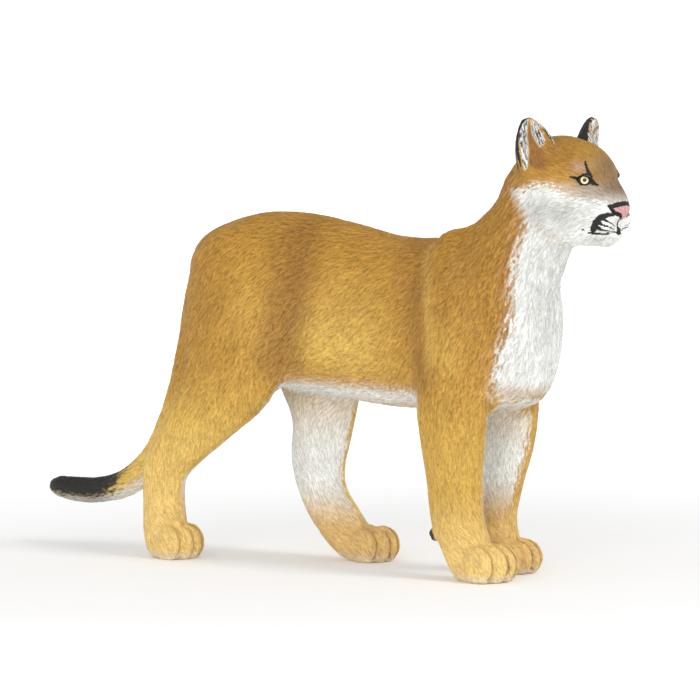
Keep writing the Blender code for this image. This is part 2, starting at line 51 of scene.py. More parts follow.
# %% [markdown]
# Several steps below put an object in the scene, turn a working mesh into a
# finished one, start a material or set its values. Each of these four jobs has
# one short function here, so that the later steps stay easy to read.

# %% Helpers
def add_object(name, data):
    thing = bpy.data.objects.new(name, data)
    bpy.context.scene.collection.objects.link(thing)
    return thing


def finished_mesh(bm, name):
    mesh = bpy.data.meshes.new(name)
    bm.to_mesh(mesh)
    bm.free()
    return mesh


def new_finish(name):
    """A material, its nodes, its links and its shader."""
    finish = bpy.data.materials.new(name)
    finish.use_nodes = True
    tree = finish.node_tree
    return finish, tree.nodes, tree.links, tree.nodes["Principled BSDF"]


def set_inputs(node, values):
    for socket, value in values.items():
        node.inputs[socket].default_value = value


print("four helpers are ready")

# %% [markdown]
# The picture was taken from the animal's front right, a little above its paws,
# from far enough away that the legs hardly shrink with distance. A long lens at
# one metre gives the same look. The aim point sits between shoulder and flank.

# %% Camera
AIM = Vector((6.65, 0.0, 46.3)) * MM
AZIMUTH = math.radians(38.0)
ELEVATION = math.radians(3.1)
DISTANCE = 1.0
LENS = 240.7

camera_data = bpy.data.cameras.new("photo_camera")
camera_data.lens = LENS
camera_data.sensor_width = 36.0
camera_data.clip_start = 0.05
camera_data.clip_end = 20.0
camera = add_object("photo_camera", camera_data)
back = Vector((
    math.sin(AZIMUTH) * math.cos(ELEVATION),
    -math.cos(AZIMUTH) * math.cos(ELEVATION),
    math.sin(ELEVATION),
))
camera.location = AIM + back * DISTANCE
camera.rotation_mode = "QUATERNION"
camera.rotation_quaternion = back.to_track_quat("Z", "Y")
bpy.context.scene.camera = camera
print("camera stands at", [round(c, 3) for c in camera.location])

# %% [markdown]
# A toy maker photographs on white paper that curves up behind the subject, so no
# horizon shows. Here the paper curves up all the way round, far outside the
# camera, so that every side view has the same plain ground. Spinning one profile
# line round the upright axis makes the whole bowl. Lamps behind the paper keep it
# pure white away from the animal, which a faint glow of its own stands for.

# %% Paper ground
PAPER_WHITE = (0.93, 0.93, 0.93, 1.0)
# The glow goes from the third value to the fourth between these two radii, in metres
GLOW = (0.1, 0.5, 0.06, 0.4)
PAPER_PROFILE = ((0.0, 0.0), (1.6, 0.0), (1.9, 0.05), (2.15, 0.2), (2.3, 0.45), (2.35, 0.8))


def paper_ground():
    bm = bmesh.new()
    points = [bm.verts.new((r, 0.0, z)) for r, z in PAPER_PROFILE]
    line = [bm.edges.new(pair) for pair in zip(points, points[1:])]
    bmesh.ops.spin(
        bm, geom=points + line, cent=(0, 0, 0), axis=(0, 0, 1),
        angle=math.tau, steps=96, use_merge=True,
    )
    bmesh.ops.remove_doubles(bm, verts=bm.verts, dist=1e-5)
    bmesh.ops.recalc_face_normals(bm, faces=bm.faces)
    mesh = finished_mesh(bm, "paper_ground")
    mesh.shade_smooth()
    return mesh


paper = add_object("paper_ground", paper_ground())
paper_finish, paper_nodes, paper_links, paper_shader = new_finish("white_paper")
set_inputs(paper_shader, {
    "Base Color": PAPER_WHITE, "Roughness": 0.9, "Emission Color": (1.0, 1.0, 1.0, 1.0),
})
from_middle = paper_nodes.new("ShaderNodeVectorMath")
from_middle.operation = "LENGTH"
paper_links.new(paper_nodes.new("ShaderNodeTexCoord").outputs["Object"], from_middle.inputs[0])
backlight = paper_nodes.new("ShaderNodeMapRange")
set_inputs(backlight, dict(zip(("From Min", "From Max", "To Min", "To Max"), GLOW)))
paper_links.new(from_middle.outputs["Value"], backlight.inputs["Value"])
paper_links.new(backlight.outputs["Result"], paper_shader.inputs["Emission Strength"])
paper.data.materials.append(paper_finish)
print("paper ground has", len(paper.data.polygons), "faces")

# %% [markdown]
# The light in the picture is wide and even: white walls all round, one soft box
# high in front of the head and a wider one beside the camera. The walls are the
# world colour and the boxes are area lights, so belly and chin stay gently shaded.

# %% Lights
WORLD_STRENGTH = 0.62
# Place and width in metres, and power in watts
LIGHTS = {
    "key_box": ((1.15, 0, 1.5), 0.5, 9.5),
    "front_box": ((0.62, -1.33, 0.42), 0.8, 7.3),
}

world = bpy.data.worlds.new("white_room")
bpy.context.scene.world = world
world.use_nodes = True
set_inputs(world.node_tree.nodes["Background"], {"Color": (1.0, 1.0, 1.0, 1.0), "Strength": WORLD_STRENGTH})


def soft_box(name, place, width, power):
    light = bpy.data.lights.new(name, "AREA")
    light.shape = "SQUARE"
    light.size = width
    light.energy = power
    box = add_object(name, light)
    box.location = place
    box.rotation_mode = "QUATERNION"
    box.rotation_quaternion = (Vector(place) - AIM).to_track_quat("Z", "Y")


for light_name, (place, width, power) in LIGHTS.items():
    soft_box(light_name, place, width, power)
bpy.context.scene.view_settings.view_transform = "Standard"
print("lights:", ", ".join(LIGHTS))

# %% [markdown]
# The CAD solids meet at 0.3 mm gaps, but the toy's vinyl skin has no such gaps.
# One way to close them is to swell every solid a little, wrap the lot in a fine
# grid of small squares, and shrink the result back. The grid also gives the fur
# enough points. The head takes a finer grid because its eyes and nose are small.

# %% Wrap the solids in one skin
SWELL = 0.26
HEAD_GRID = 0.20
BODY_GRID = 0.32
HEAD_NODES = ("head", "ear_right", "ear_left", "eye_right", "eye_left")
BODY_NODES = (
    "torso", "tail_root", "tail_middle", "tail_tip",
    "foreleg_right", "foreleg_left", "forepaw_right", "forepaw_left",
    "hindleg_right", "hindleg_left", "hindpaw_right", "hindpaw_left",
)


def wrap(name, nodes, grid):
    bm = bmesh.new()
    for node in nodes:
        bm.from_mesh(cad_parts[node].data)
    bmesh.ops.remove_doubles(bm, verts=bm.verts, dist=1e-6)
    bm.normal_update()
    for vert in bm.verts:
        vert.co += vert.normal * SWELL * MM
    mesh = finished_mesh(bm, name)
    mesh.materials.clear()
    piece = add_object(name, mesh)
    remesh = piece.modifiers.new("grid", "REMESH")
    remesh.mode = "VOXEL"
    remesh.voxel_size = grid * MM
    graph = bpy.context.evaluated_depsgraph_get()
    wrapped = bpy.data.meshes.new_from_object(piece.evaluated_get(graph))
    piece.modifiers.clear()
    piece.data = wrapped
    bpy.data.meshes.remove(mesh)
    wrapped.name = name
    return piece


def read_points(mesh):
    points = np.empty(len(mesh.vertices) * 3)
    mesh.vertices.foreach_get("co", points)
    return points.reshape(-1, 3) / MM


def read_normals(mesh):
    normals = np.empty(len(mesh.vertices) * 3)
    mesh.vertices.foreach_get("normal", normals)
    return normals.reshape(-1, 3)


def write_points(mesh, points):
    mesh.vertices.foreach_set("co", (points * MM).ravel())
    mesh.update()


head_skin = wrap("head_skin", (*HEAD_NODES, "neck"), HEAD_GRID)
body_skin = wrap("body_skin", (*BODY_NODES, "neck", "head"), BODY_GRID)
for piece in (head_skin, body_skin):
    print(piece.name, "has", len(piece.data.vertices), "points")

# %% [markdown]
# The grid leaves tiny steps, and the solids' flat facets still show. Smoothing
# moves each point towards the middle of its neighbours, and a second step with
# the opposite sign pushes the volume back out, so the form relaxes but doesn't
# shrink. Small face forms get fewer rounds than the flanks.

# %% Relax the skin
RELAX_IN = 0.60
RELAX_OUT = -0.63
BODY_ROUNDS = 26
HEAD_ROUNDS = 18


def neighbours(mesh):
    """The two ends of every edge, and how many edges meet at each point."""
    pairs = np.empty(len(mesh.edges) * 2, dtype=np.int64)
    mesh.edges.foreach_get("vertices", pairs)
    counts = np.bincount(pairs, minlength=len(mesh.vertices)).astype(float)
    return pairs.reshape(-1, 2), counts


def neighbour_mean(values, pairs, counts):
    total = np.empty_like(values)
    for column in range(values.shape[1]):
        total[:, column] = np.bincount(
            pairs[:, 0], values[pairs[:, 1], column], len(values)
        ) + np.bincount(pairs[:, 1], values[pairs[:, 0], column], len(values))
    return total / counts[:, None]


def relax(mesh, rounds):
    points = read_points(mesh)
    pairs, counts = neighbours(mesh)
    for _ in range(rounds):
        for factor in (RELAX_IN, RELAX_OUT):
            points += (neighbour_mean(points, pairs, counts) - points) * factor
    write_points(mesh, points)
    return points


def shrink(mesh):
    write_points(mesh, read_points(mesh) - read_normals(mesh) * SWELL)


relax(head_skin.data, HEAD_ROUNDS)
relax(body_skin.data, BODY_ROUNDS)
for piece in (head_skin, body_skin):
    shrink(piece.data)
    points = read_points(piece.data)
    print(piece.name, "spans", points.min(0).round(1), points.max(0).round(1))


# %% [markdown]
# A sculptor presses lines into the model with a small tool: the mouth, the
# nostrils, the folds between the toes. Here a line is a path of points on the
# animal's left, and every skin point near it moves in along its normal, most at
# the middle of the line. A negative depth raises a ridge instead, such as the
# small pad behind each wrist. Each path is used twice, once mirrored, except on
# the legs, where the stance is uneven. Toe folds are laid on the skin first.

# %% Press lines into face and paws
FACE_LINES = {
    "mouth": (((71.6, 4, 72.7), (73.5, 3.5, 72.4), (74.9, 2.8, 72.3), (75.6, 2.1, 72.8),
               (76.2, 1.2, 72.9), (76.6, 0, 72.3)), 0.5, 0.35),
    "philtrum": (((77, 0, 75.4), (76.3, 0, 74), (76.4, 0, 72.9)), 0.4, 0.28),
    "nostril": (((77, 2.9, 76.8), (77.4, 2.1, 76.4), (77.9, 1.2, 76.2), (77.3, 0.8, 75.6)),
                0.55, 0.45),
    "nose_edge": (((76.2, 3.6, 78), (76.6, 3.3, 76.8), (76.9, 2.5, 75.7), (76.9, 1.2, 75.2)),
                  0.35, 0.15),
    "upper_lid": (((68.9, 6.7, 84), (70.4, 6.6, 84.6), (71.9, 6.1, 84.9), (73.2, 4.7, 83.8)),
                  0.55, -0.06),
    "lower_lid": (((69.4, 6.5, 83.2), (70.8, 5.9, 82.2), (72.2, 4.9, 81.9), (73.5, 3.8, 82.1)),
                  0.5, -0.14),
    "brow_side": (((71.4, 6.4, 86.2), (72.8, 5.2, 85), (73.5, 4.4, 83.9)), 1.6, 0.38),
    "tear": (((72.5, 4.6, 83), (73.5, 3.7, 82.4)), 0.4, 0.25),
    "pad_edge": (((76, 4.4, 77), (74.6, 5.2, 76.3), (73.2, 5.3, 75), (71.9, 4.3, 73.4)),
                 0.6, 0.16),
    "temple": (((68.1, 5.1, 88.6), (68.1, 6.4, 86.5), (67.2, 7.2, 84.6)), 0.9, 0.14),
}
# Middle, half length, half width and height of each paw, and how deep its toe folds are
PAWS = {
    "forepaw_right": ((48.15, -8.6), (7.6, 5.9, 8.2), 0.5),
    "forepaw_left": ((41.25, 9.3), (7.8, 5.9, 7.6), 0.5),
    "hindpaw_right": ((-34.55, -10), (6.9, 5.2, 8), 0.24),
    "hindpaw_left": ((3.05, 11), (6.9, 5.2, 8), 0.46),
}
TOE_GAP_SHARES = (-1.0, 0.0, 1.0)
TOE_LINE_WIDTH = 0.50
TOE_LINE_STEPS = 16
# A toe fold this deep, in mm, takes the full painted shade
FULL_FOLD = 0.50
PAW_TOP = 12.0
# The small dark pad behind each wrist
WRIST_PADS = (((37.2, -10.5, 9.9), (37.5, -10.7, 8.7)), ((33.3, 11.2, 9.9), (33.3, 11.2, 8.7)))
WRIST_PAD_WIDTH = 1.2
WRIST_PAD_HEIGHT = 1.05


def toe_lines():
    """The three folds of each paw, from the instep over the front and down to the floor."""
    lines = []
    for (x, y), (length, width, height), depth in PAWS.values():
        for across in TOE_GAP_SHARES:
            line = y + across * 0.66 * width
            reach = x + (0.86 - 0.22 * across ** 2) * length
            lines.append(((
                (x + 0.34 * length, line, 0.98 * height),
                (x + 0.56 * length, line, 0.91 * height),
                (reach, line + 0.3 * across, 0.62 * height),
                (reach + 0.08 * length, line + 0.4 * across, 0.0),
            ), depth))
    return lines


def laid_on(points, path):
    """The path in short steps, each moved to the nearest skin point."""
    at = np.linspace(0.0, len(path) - 1.0, TOE_LINE_STEPS)
    steps = np.column_stack([np.interp(at, range(len(path)), axis) for axis in zip(*path)])
    low = points[points[:, 2] < PAW_TOP]
    return [low[((low - step) ** 2).sum(1).argmin()] for step in steps]


def gap_to_path(points, path):
    nearest = np.full(len(points), np.inf)
    for start, end in zip(path, path[1:]):
        start, run = np.array(start), np.subtract(end, start)
        along = np.clip((points - start) @ run / max(run @ run, 1e-9), 0.0, 1.0)
        gap = np.linalg.norm(points - start - along[:, None] * run, axis=1)
        nearest = np.minimum(nearest, gap)
    return nearest


def press(points, normals, path, width, depth):
    """Moves the points near the path, and says how deep in the line each one lies, 0 to 1."""
    share = (1.0 - np.clip(gap_to_path(points, path) / width, 0.0, 1.0) ** 2) ** 2
    points -= normals * (share * depth)[:, None]
    return share


# The opening between the lids: its middle, the way from outer to inner corner, half sizes
LID_MIDDLE = np.array([71.25, 5.45, 83.35])
LID_WAY = np.array([3.0, -2.0, -0.9]) / math.hypot(3.0, 2.0, 0.9)
LID_OUT = np.array([0.54, 0.84, 0.03])
LID_HALF = (1.45, 0.86)
LID_DEPTH = 0.75
LID_REACH = 2.6
OUTSIDE = 9.0


def lid_share(points):
    """0 in the middle of the opening, 1 on its almond edge, more outside."""
    offset = points * (1.0, 0.0, 1.0) + np.abs(points) * (0.0, 1.0, 0.0) - LID_MIDDLE
    along = offset @ LID_WAY / LID_HALF[0]
    up = offset @ np.cross(LID_WAY, LID_OUT) / LID_HALF[1]
    share = np.abs(up) / np.maximum(1.0 - along ** 2, 0.05)
    share = np.maximum(share, np.abs(along))
    return np.where(np.linalg.norm(offset, axis=1) < LID_REACH, share, OUTSIDE)


def keep_float(mesh, name, values):
    mesh.attributes.new(name, "FLOAT", "POINT").data.foreach_set("value", values)


def kept_float(mesh, name):
    values = np.empty(len(mesh.vertices))
    mesh.attributes[name].data.foreach_get("value", values)
    return values


# Where separate lumps of clay meet too sharply: ear roots, brow and nose bridge, in mm
SOFT_JOINS = (((63.6, 9.3, 85.6), 4.2), ((74.0, 2.4, 86.2), 3.2), ((70.5, 3.5, 88.6), 3.0))
SOFT_ROUNDS = 70


def soften_joins(mesh):
    points = read_points(mesh)
    share = np.zeros(len(points))
    for (x, y, z), radius in SOFT_JOINS:
        for side in (1, -1):
            gap = np.linalg.norm(points - (x, side * y, z), axis=1) / radius
            share = np.maximum(share, np.clip(1.3 * (1.0 - gap ** 2), 0.0, 1.0))
    pairs, counts = neighbours(mesh)
    for _ in range(SOFT_ROUNDS):
        points += (neighbour_mean(points, pairs, counts) - points) * share[:, None]
    write_points(mesh, points)


soften_joins(head_skin.data)
for skin in (head_skin, body_skin):
    points, normals = read_points(skin.data), read_normals(skin.data)
    toe_fold_shade, pad = np.zeros(len(points)), np.zeros(len(points))
    if skin is head_skin:
        for path, width, depth in FACE_LINES.values():
            for side in (1, -1):
                press(points, normals, [(x, side * y, z) for x, y, z in path], width, depth)
        opening = 1.0 - np.clip((lid_share(points) - 0.8) / 0.35, 0.0, 1.0)
        outward = np.where(points[:, 1:2] > 0.0, LID_OUT, LID_OUT * (1.0, -1.0, 1.0))
        points -= outward * (opening * LID_DEPTH)[:, None]
    else:
        for path, depth in toe_lines():
            share = press(points, normals, laid_on(points, path), TOE_LINE_WIDTH, depth)
            # Painted shade in each toe fold, darker where the fold is pressed deeper
            toe_fold_shade = np.maximum(toe_fold_shade, depth / FULL_FOLD * share)
        for path in WRIST_PADS:
            pad = np.maximum(pad, press(points, normals, path, WRIST_PAD_WIDTH, -WRIST_PAD_HEIGHT))
    write_points(skin.data, points)
    keep_float(skin.data, "toe_fold_shade", toe_fold_shade)
    keep_float(skin.data, "pad", pad)
print("pressed", 2 * len(FACE_LINES), "face lines and", len(toe_lines()), "toe lines")

# %% [markdown]
# Fur lies in a direction: back along the spine, down the legs, up the ears.
# Combing every hair by hand would take days, so a few guides say which way the
# coat lies at known places, and each skin point takes the average of the guides,
# the near ones counting most. The result is laid flat on the skin.

# %% Comb the coat
# Place and direction in mm, for the animal's left; the right side is mirrored
GUIDES = (
    ((77.5, 0, 79.5), (-0.6, 0, 0.8)), ((73.5, 1.5, 86), (-0.7, 0, 0.7)),
    ((68, 0, 91), (-1, 0, 0.3)), ((62, 0, 92.6), (-1, 0, -0.2)),
    ((55, 0, 89.5), (-0.8, 0, -0.6)), ((70, 6, 86.5), (-0.9, 0.2, 0.5)),
    ((65, 8, 86), (-1, 0.1, 0.1)), ((73, 5, 80), (-0.9, 0.3, 0.1)),
    ((68, 7.5, 79.5), (-1, 0.2, -0.2)), ((62, 9.3, 79.5), (-0.8, 0.1, -0.6)),
    ((74, 4.5, 75.5), (-0.9, 0.4, -0.3)), ((68, 5, 74), (-0.8, 0.1, -0.5)),
    ((73, 0, 70.5), (-0.8, 0, -0.5)), ((62, 3, 69.5), (-0.4, 0, -0.9)),
    ((61.5, 12, 92), (-0.1, 0.3, 1)), ((60.5, 9.5, 92), (-0.1, 0.1, 1)),
    ((61.5, 12.5, 86.5), (-0.3, 0.2, 0.9)), ((56, 8.5, 82), (-0.7, 0.1, -0.7)),
    ((52, 8.5, 76), (-0.6, 0.1, -0.8)), ((48, 0, 78), (-0.8, 0, -0.6)),
    ((57.5, 7, 70), (-0.35, 0.1, -0.9)), ((56, 8, 60), (-0.35, 0.1, -0.95)),
    ((60, 2, 60), (-0.1, 0, -1)), ((58, 3, 48), (-0.15, 0, -1)),
    ((52, 8.5, 46), (-0.4, 0.1, -0.9)), ((52, 3, 37.5), (-0.8, 0, -0.5)),
    ((44, 11.5, 66), (-0.7, 0.1, -0.7)), ((40, 12.5, 56), (-0.5, 0, -0.85)),
    ((42, 13.5, 45), (-0.3, 0, -0.95)), ((36, 5, 71.5), (-1, 0, -0.1)),
    ((30, 12, 60), (-0.8, 0, -0.6)), ((31, 12, 48), (-0.6, 0, -0.8)),
    ((15, 4, 71), (-1, 0, 0)), ((18, 11.5, 62), (-0.85, 0, -0.5)),
    ((16, 12, 50), (-0.85, 0, -0.5)), ((14, 9, 40), (-0.95, 0, -0.3)),
    ((5, 4, 36.5), (-1, 0, 0)), ((0, 10.5, 62), (-0.85, 0, -0.5)),
    ((-2, 10.5, 50), (-0.7, 0, -0.7)), ((-10, 4, 75), (-1, 0, 0)),
    ((-24, 4, 73), (-1, 0, -0.3)), ((-14, 12, 62), (-0.7, 0, -0.7)),
    ((-18, 12.5, 50), (-0.5, 0, -0.9)), ((-28, 9, 60), (-0.5, 0, -0.9)),
    ((-33, 4, 62), (-0.3, 0, -0.95)), ((-26, 12, 40), (-0.6, 0, -0.8)),
    ((-35.5, 10, 24), (-0.3, 0, -0.95)), ((-36, 10, 14), (0, 0, -1)),
    ((-31, 10, 8.5), (0.8, 0, -0.5)), ((-27.5, 10, 4), (0.5, 0, -0.9)),
    ((-8, 13.5, 30), (0, 0, -1)), ((-8, 13, 18), (0.4, 0, -0.9)),
    ((2, 11, 9.5), (0.9, 0, -0.5)), ((10, 11, 4.5), (0.5, 0, -0.9)),
    ((41, 13, 30), (0, 0, -1)), ((41.5, 12, 15), (0.1, 0, -1)),
    ((47.5, 9, 9), (0.9, 0, -0.5)), ((55, 9, 4.5), (0.4, 0, -0.9)),
    ((-36.5, 3, 48), (-0.2, 0, -1)), ((-39.5, 3, 36), (-0.35, 0, -0.95)),
    ((-45, 3, 24), (-0.6, 0, -0.8)), ((-54, 3, 15), (-0.95, 0, -0.35)),
    ((-64, 3, 12.5), (-1, 0, 0)), ((-76, 0, 12.8), (-1, 0, 0.1)),
)
GUIDE_SPREAD = 3.0
BATCH = 20000

guide_places = np.array([place for place, _ in GUIDES])
guide_ways = np.array([way for _, way in GUIDES])
mirror = np.array([1.0, -1.0, 1.0])
guide_places = np.concatenate((guide_places, guide_places * mirror))
guide_ways = np.concatenate((guide_ways, guide_ways * mirror))


def comb(points, normals):
    flow = np.empty_like(points)
    for start in range(0, len(points), BATCH):
        part = slice(start, start + BATCH)
        gaps = ((points[part, None, :] - guide_places[None]) ** 2).sum(2)
        flow[part] = (1.0 / (gaps + GUIDE_SPREAD ** 2) ** 2) @ guide_ways
    flow /= np.linalg.norm(flow, axis=1)[:, None]
    flow -= normals * (flow * normals).sum(1)[:, None]
    return flow / np.maximum(np.linalg.norm(flow, axis=1), 1e-6)[:, None]


# %% [markdown]
# The fur itself is thousands of short strokes, each a groove that starts broad
# and runs out to nothing, as a pointed tool leaves in clay. They are longest on
# neck and chest, and short and fine on the face. One stroke starts in each small
# cube of space that the skin passes through, turned a little at random, so that
# they are even but not regular. Nose, lips, eyes and soles stay bare.

# %% Cut the fur strokes
STROKE_REACH = 2.4
BARE_SPOTS = (
    ((77.6, 0, 77), 2.6), ((71, 5.4, 83.4), 1.9), ((76.2, 0, 73), 1.2),
    ((74, 3.4, 72.5), 0.9),
)
SOLE_LEVEL = 1.2
TURN = 0.24


def smooth_step(values, low, high):
    share = np.clip((values - low) / (high - low), 0.0, 1.0)
    return share * share * (3.0 - 2.0 * share)


def fade(values, low, high):
    return 1.0 - smooth_step(values, low, high)


def stroke_sizes(points):
    """Length, half width and depth of a stroke at each point."""
    x, z = points[:, 0], points[:, 2]
    head = smooth_step(x * 0.8 + (z - 76.8) * 0.6, 46.0, 51.0)
    ruff = smooth_step(x, 47.0, 54.0) * smooth_step(z, 38.0, 48.0) * (1.0 - head)
    legs = fade(z, 24.0, 38.0)
    length = 1.9 + 1.5 * ruff - 0.6 * head - 0.3 * legs
    width = 0.33 + 0.07 * ruff - 0.12 * head - 0.04 * legs
    depth = 0.23 + 0.04 * ruff - 0.120 * head - 0.07 * legs
    return length, width, depth


def bareness(points):
    bare = fade(points[:, 2], SOLE_LEVEL * 0.4, SOLE_LEVEL)
    for centre, radius in BARE_SPOTS:
        for side in (1, -1):
            gap = np.linalg.norm(points - np.multiply(centre, (1, side, 1)), axis=1)
            bare = np.maximum(bare, fade(gap, radius * 0.75, radius))
    return bare


def scatter(points, cell, rng):
    """One random point from each cube of the given size that holds any."""
    order = rng.permutation(len(points))
    cubes = np.floor(points[order] / cell).astype(np.int64)
    keys = (cubes[:, 0] * 4096 + cubes[:, 1]) * 4096 + cubes[:, 2]
    return order[np.unique(keys, return_index=True)[1]]


def stroke_starts(skin, keep, cell):
    points, normals = read_points(skin.data), read_normals(skin.data)
    flow = comb(points, normals)
    rng = np.random.default_rng(SEED)
    chosen = scatter(points, cell, rng)
    chosen = chosen[keep(points[chosen])]
    turn = rng.normal(0.0, TURN, len(chosen))[:, None]
    side = np.cross(normals[chosen], flow[chosen])
    ways = flow[chosen] * np.cos(turn) + side * np.sin(turn)
    return points[chosen], normals[chosen], ways


neck_point, neck_way = np.array([58.85, 0.0, 76.8]), np.array([0.8, 0.0, 0.6])
HEAD_CELL = 0.78
BODY_CELL = 0.95
starts = [
    stroke_starts(head_skin, lambda p: (p - neck_point) @ neck_way > 0.0, HEAD_CELL),
    stroke_starts(body_skin, lambda p: (p - neck_point) @ neck_way <= 0.0, BODY_CELL),
]
start_points, start_normals, start_ways = (np.concatenate(part) for part in zip(*starts))
rng = np.random.default_rng(SEED)
start_scales = rng.uniform(0.7, 1.25, (len(start_points), 2))
start_tones = rng.uniform(0.0, 1.0, len(start_points))


def cut_fur(skin):
    mesh = skin.data
    points, normals = read_points(mesh), read_normals(mesh)
    tree = kdtree.KDTree(len(points))
    for index, point in enumerate(points):
        tree.insert(point, index)
    tree.balance()
    length, width, depth = stroke_sizes(start_points)
    length, depth = length * start_scales[:, 0], depth * start_scales[:, 1]
    owners, hits = [], []
    low, high = points.min(0) - 1.0, points.max(0) + 1.0
    inside = np.flatnonzero(((start_points > low) & (start_points < high)).all(1))
    for stroke in inside:
        found = tree.find_range(start_points[stroke], min(STROKE_REACH, 0.6 * length[stroke] + 0.3))
        hits.append(np.array([index for _, index, _ in found], dtype=np.int64))
        owners.append(np.full(len(found), stroke))
    owners, hits = np.concatenate(owners), np.concatenate(hits)
    offset = points[hits] - start_points[owners]
    along = (offset * start_ways[owners]).sum(1) / length[owners]
    across = (offset * np.cross(start_normals[owners], start_ways[owners])).sum(1)
    facing = (normals[hits] * start_normals[owners]).sum(1) > 0.3
    taper = np.clip(0.5 - along, 0.0, 1.0) ** 0.6 * smooth_step(along, -0.5, -0.3)
    reach = np.clip(np.abs(across) / (width[owners] * (0.45 + 0.55 * taper)), 0.0, 1.0)
    groove = (1.0 - reach ** 2) ** 2 * taper * facing
    fur = np.zeros(len(points))
    np.maximum.at(fur, hits, groove * depth[owners])
    fur *= 1.0 - bareness(points)
    deepest = np.argsort(groove * depth[owners])
    tuft = np.full(len(points), 0.5)
    tuft[hits[deepest]] = start_tones[owners[deepest]]
    keep_float(mesh, "tuft", tuft)
    write_points(mesh, points - normals * fur[:, None])
    keep_float(mesh, "fur", fur / depth.max())
    flow = comb(points, normals)
    mesh.attributes.new("flow", "FLOAT_VECTOR", "POINT").data.foreach_set("vector", flow.ravel())
    return len(inside)


for skin in (head_skin, body_skin):
    print(skin.name, "takes", cut_fur(skin), "strokes")

# %% [markdown]
# The factory sprays the coat through masks in soft passes: ochre all over,
# brown along the spine and behind the shoulder, cream on belly, chest and inner
# legs. Each pass here is a colour and a share from 0 to 1 at every skin point.
# Soft patches are ellipsoids, and bands follow a path. Where a white or black
# area ends in fur, each stroke shifts the edge a little, as a brush would.

# %% Spray the coat
OCHRE = (0.46, 0.25, 0.04)
DARK_BACK = (0.37, 0.19, 0.03)
LIGHT_TAN = (0.76, 0.535, 0.195)
FLANK_YELLOW = (0.69, 0.465, 0.112)
BROWN = (0.23, 0.095, 0.022)
CREAM = (0.76, 0.78, 0.775)
WARM_FRINGE = (0.54, 0.32, 0.16)
BLACK = (0.02, 0.02, 0.018)
NOSE_PINK = (0.62, 0.33, 0.33)
MUZZLE_BROWN = (0.2, 0.13, 0.078)
LILAC = (0.27, 0.2, 0.17)
# Grey of lower cheeks and chin: partly mottled paint, partly painted shade
CHEEK_GREY_AND_SHADE = (0.4, 0.41, 0.39)
BROW_PINK = (0.46, 0.3, 0.24)
PAD_BLACK = (0.05, 0.035, 0.028)

# Colour, strength, middle and half sizes in mm, mirrored on the other side
SOFT_PATCHES = (
    (DARK_BACK, 0.5, (-8, 0, 76), (52, 9.5, 12)),
    (DARK_BACK, 0.36, (-30, 8, 60), (11, 9, 13)),
    (DARK_BACK, 0.75, (44, 9, 68), (15, 9, 14)),
    (DARK_BACK, 0.45, (41, 13, 56), (7, 6, 9)),
    (FLANK_YELLOW, 0.9, (10, 12, 47), (19, 9, 10.5)),
    (FLANK_YELLOW, 0.18, (14, 12, 60), (11, 6, 6)),
    (FLANK_YELLOW, 0.25, (-12, 13.5, 56), (6, 6, 8)),
    (DARK_BACK, 0.35, (-20.5, 12.5, 57), (4.6, 5, 10)),
    (FLANK_YELLOW, 0.4, (42.5, 14, 47), (4, 5, 7)),
    (DARK_BACK, 0.7, (54, 6, 84), (8, 9, 9)),
    (DARK_BACK, 0.8, (63, 0, 92), (9, 9, 6)),
    (BROWN, 0.22, (66, 4, 90), (8, 8, 5)),
)
# Colour, strength, half width and path
SOFT_BANDS = (
    (BROWN, 0.42, 5.4, ((26.5, 2, 71.5), (28.2, 4.8, 69.3), (31.8, 9.9, 62.2),
                        (32.9, 11.7, 56), (33.3, 11.9, 49.8), (35.1, 12.9, 42.6))),
    (FLANK_YELLOW, 0.4, 2.2, ((33.5, 7, 69), (36.6, 11, 61), (37.6, 13, 54),
                               (38.5, 13.5, 46))),
    (BROWN, 0.6, 6.4, ((-1.4, 6.6, 71), (-0.9, 10.2, 61.4), (-1.6, 10.7, 55),
                        (-3.4, 10.3, 48.5), (-4.4, 10, 45.3))),
    (BROWN, 0.3, 4, ((-36, 6, 56), (-33, 8.5, 46), (-27, 10.5, 38))),
)


def mirrored(points):
    """Every point taken to the animal's left."""
    return np.column_stack((points[:, 0], np.abs(points[:, 1]), points[:, 2]))


def mirrored_normals(points, normals):
    flip = np.where(points[:, 1] < 0.0, -1.0, 1.0)
    return np.column_stack((normals[:, 0], normals[:, 1] * flip, normals[:, 2]))


def toward(colour, target, share):
    return colour + (np.array(target) - colour) * np.clip(share, 0.0, 1.0)[:, None]


def soft_patch(points, middle, half):
    gap = (((points - middle) / half) ** 2).sum(1)
    return np.exp(-1.4 * gap)


def lay_patches(colour, points, patches, where=1.0):
    for target, strength, middle, half in patches:
        share = strength * soft_patch(mirrored(points), middle, half)
        colour = toward(colour, target, share * where)
    return colour


def shifted(gap, tuft, softness, reach):
    """How far a point is past an edge, 0 to 1, with the edge moved by its own fur stroke."""
    return smooth_step(gap + (tuft - 0.5) * reach, -softness, softness)


# %% [markdown]
# White and tan meet along edges measured in the picture: one runs down the neck
# and chest, one along the belly, one under the eye. They are given in the plane
# of the picture, where a point's place is its height and its distance along the
# view, so the same edge serves both sides of the animal.

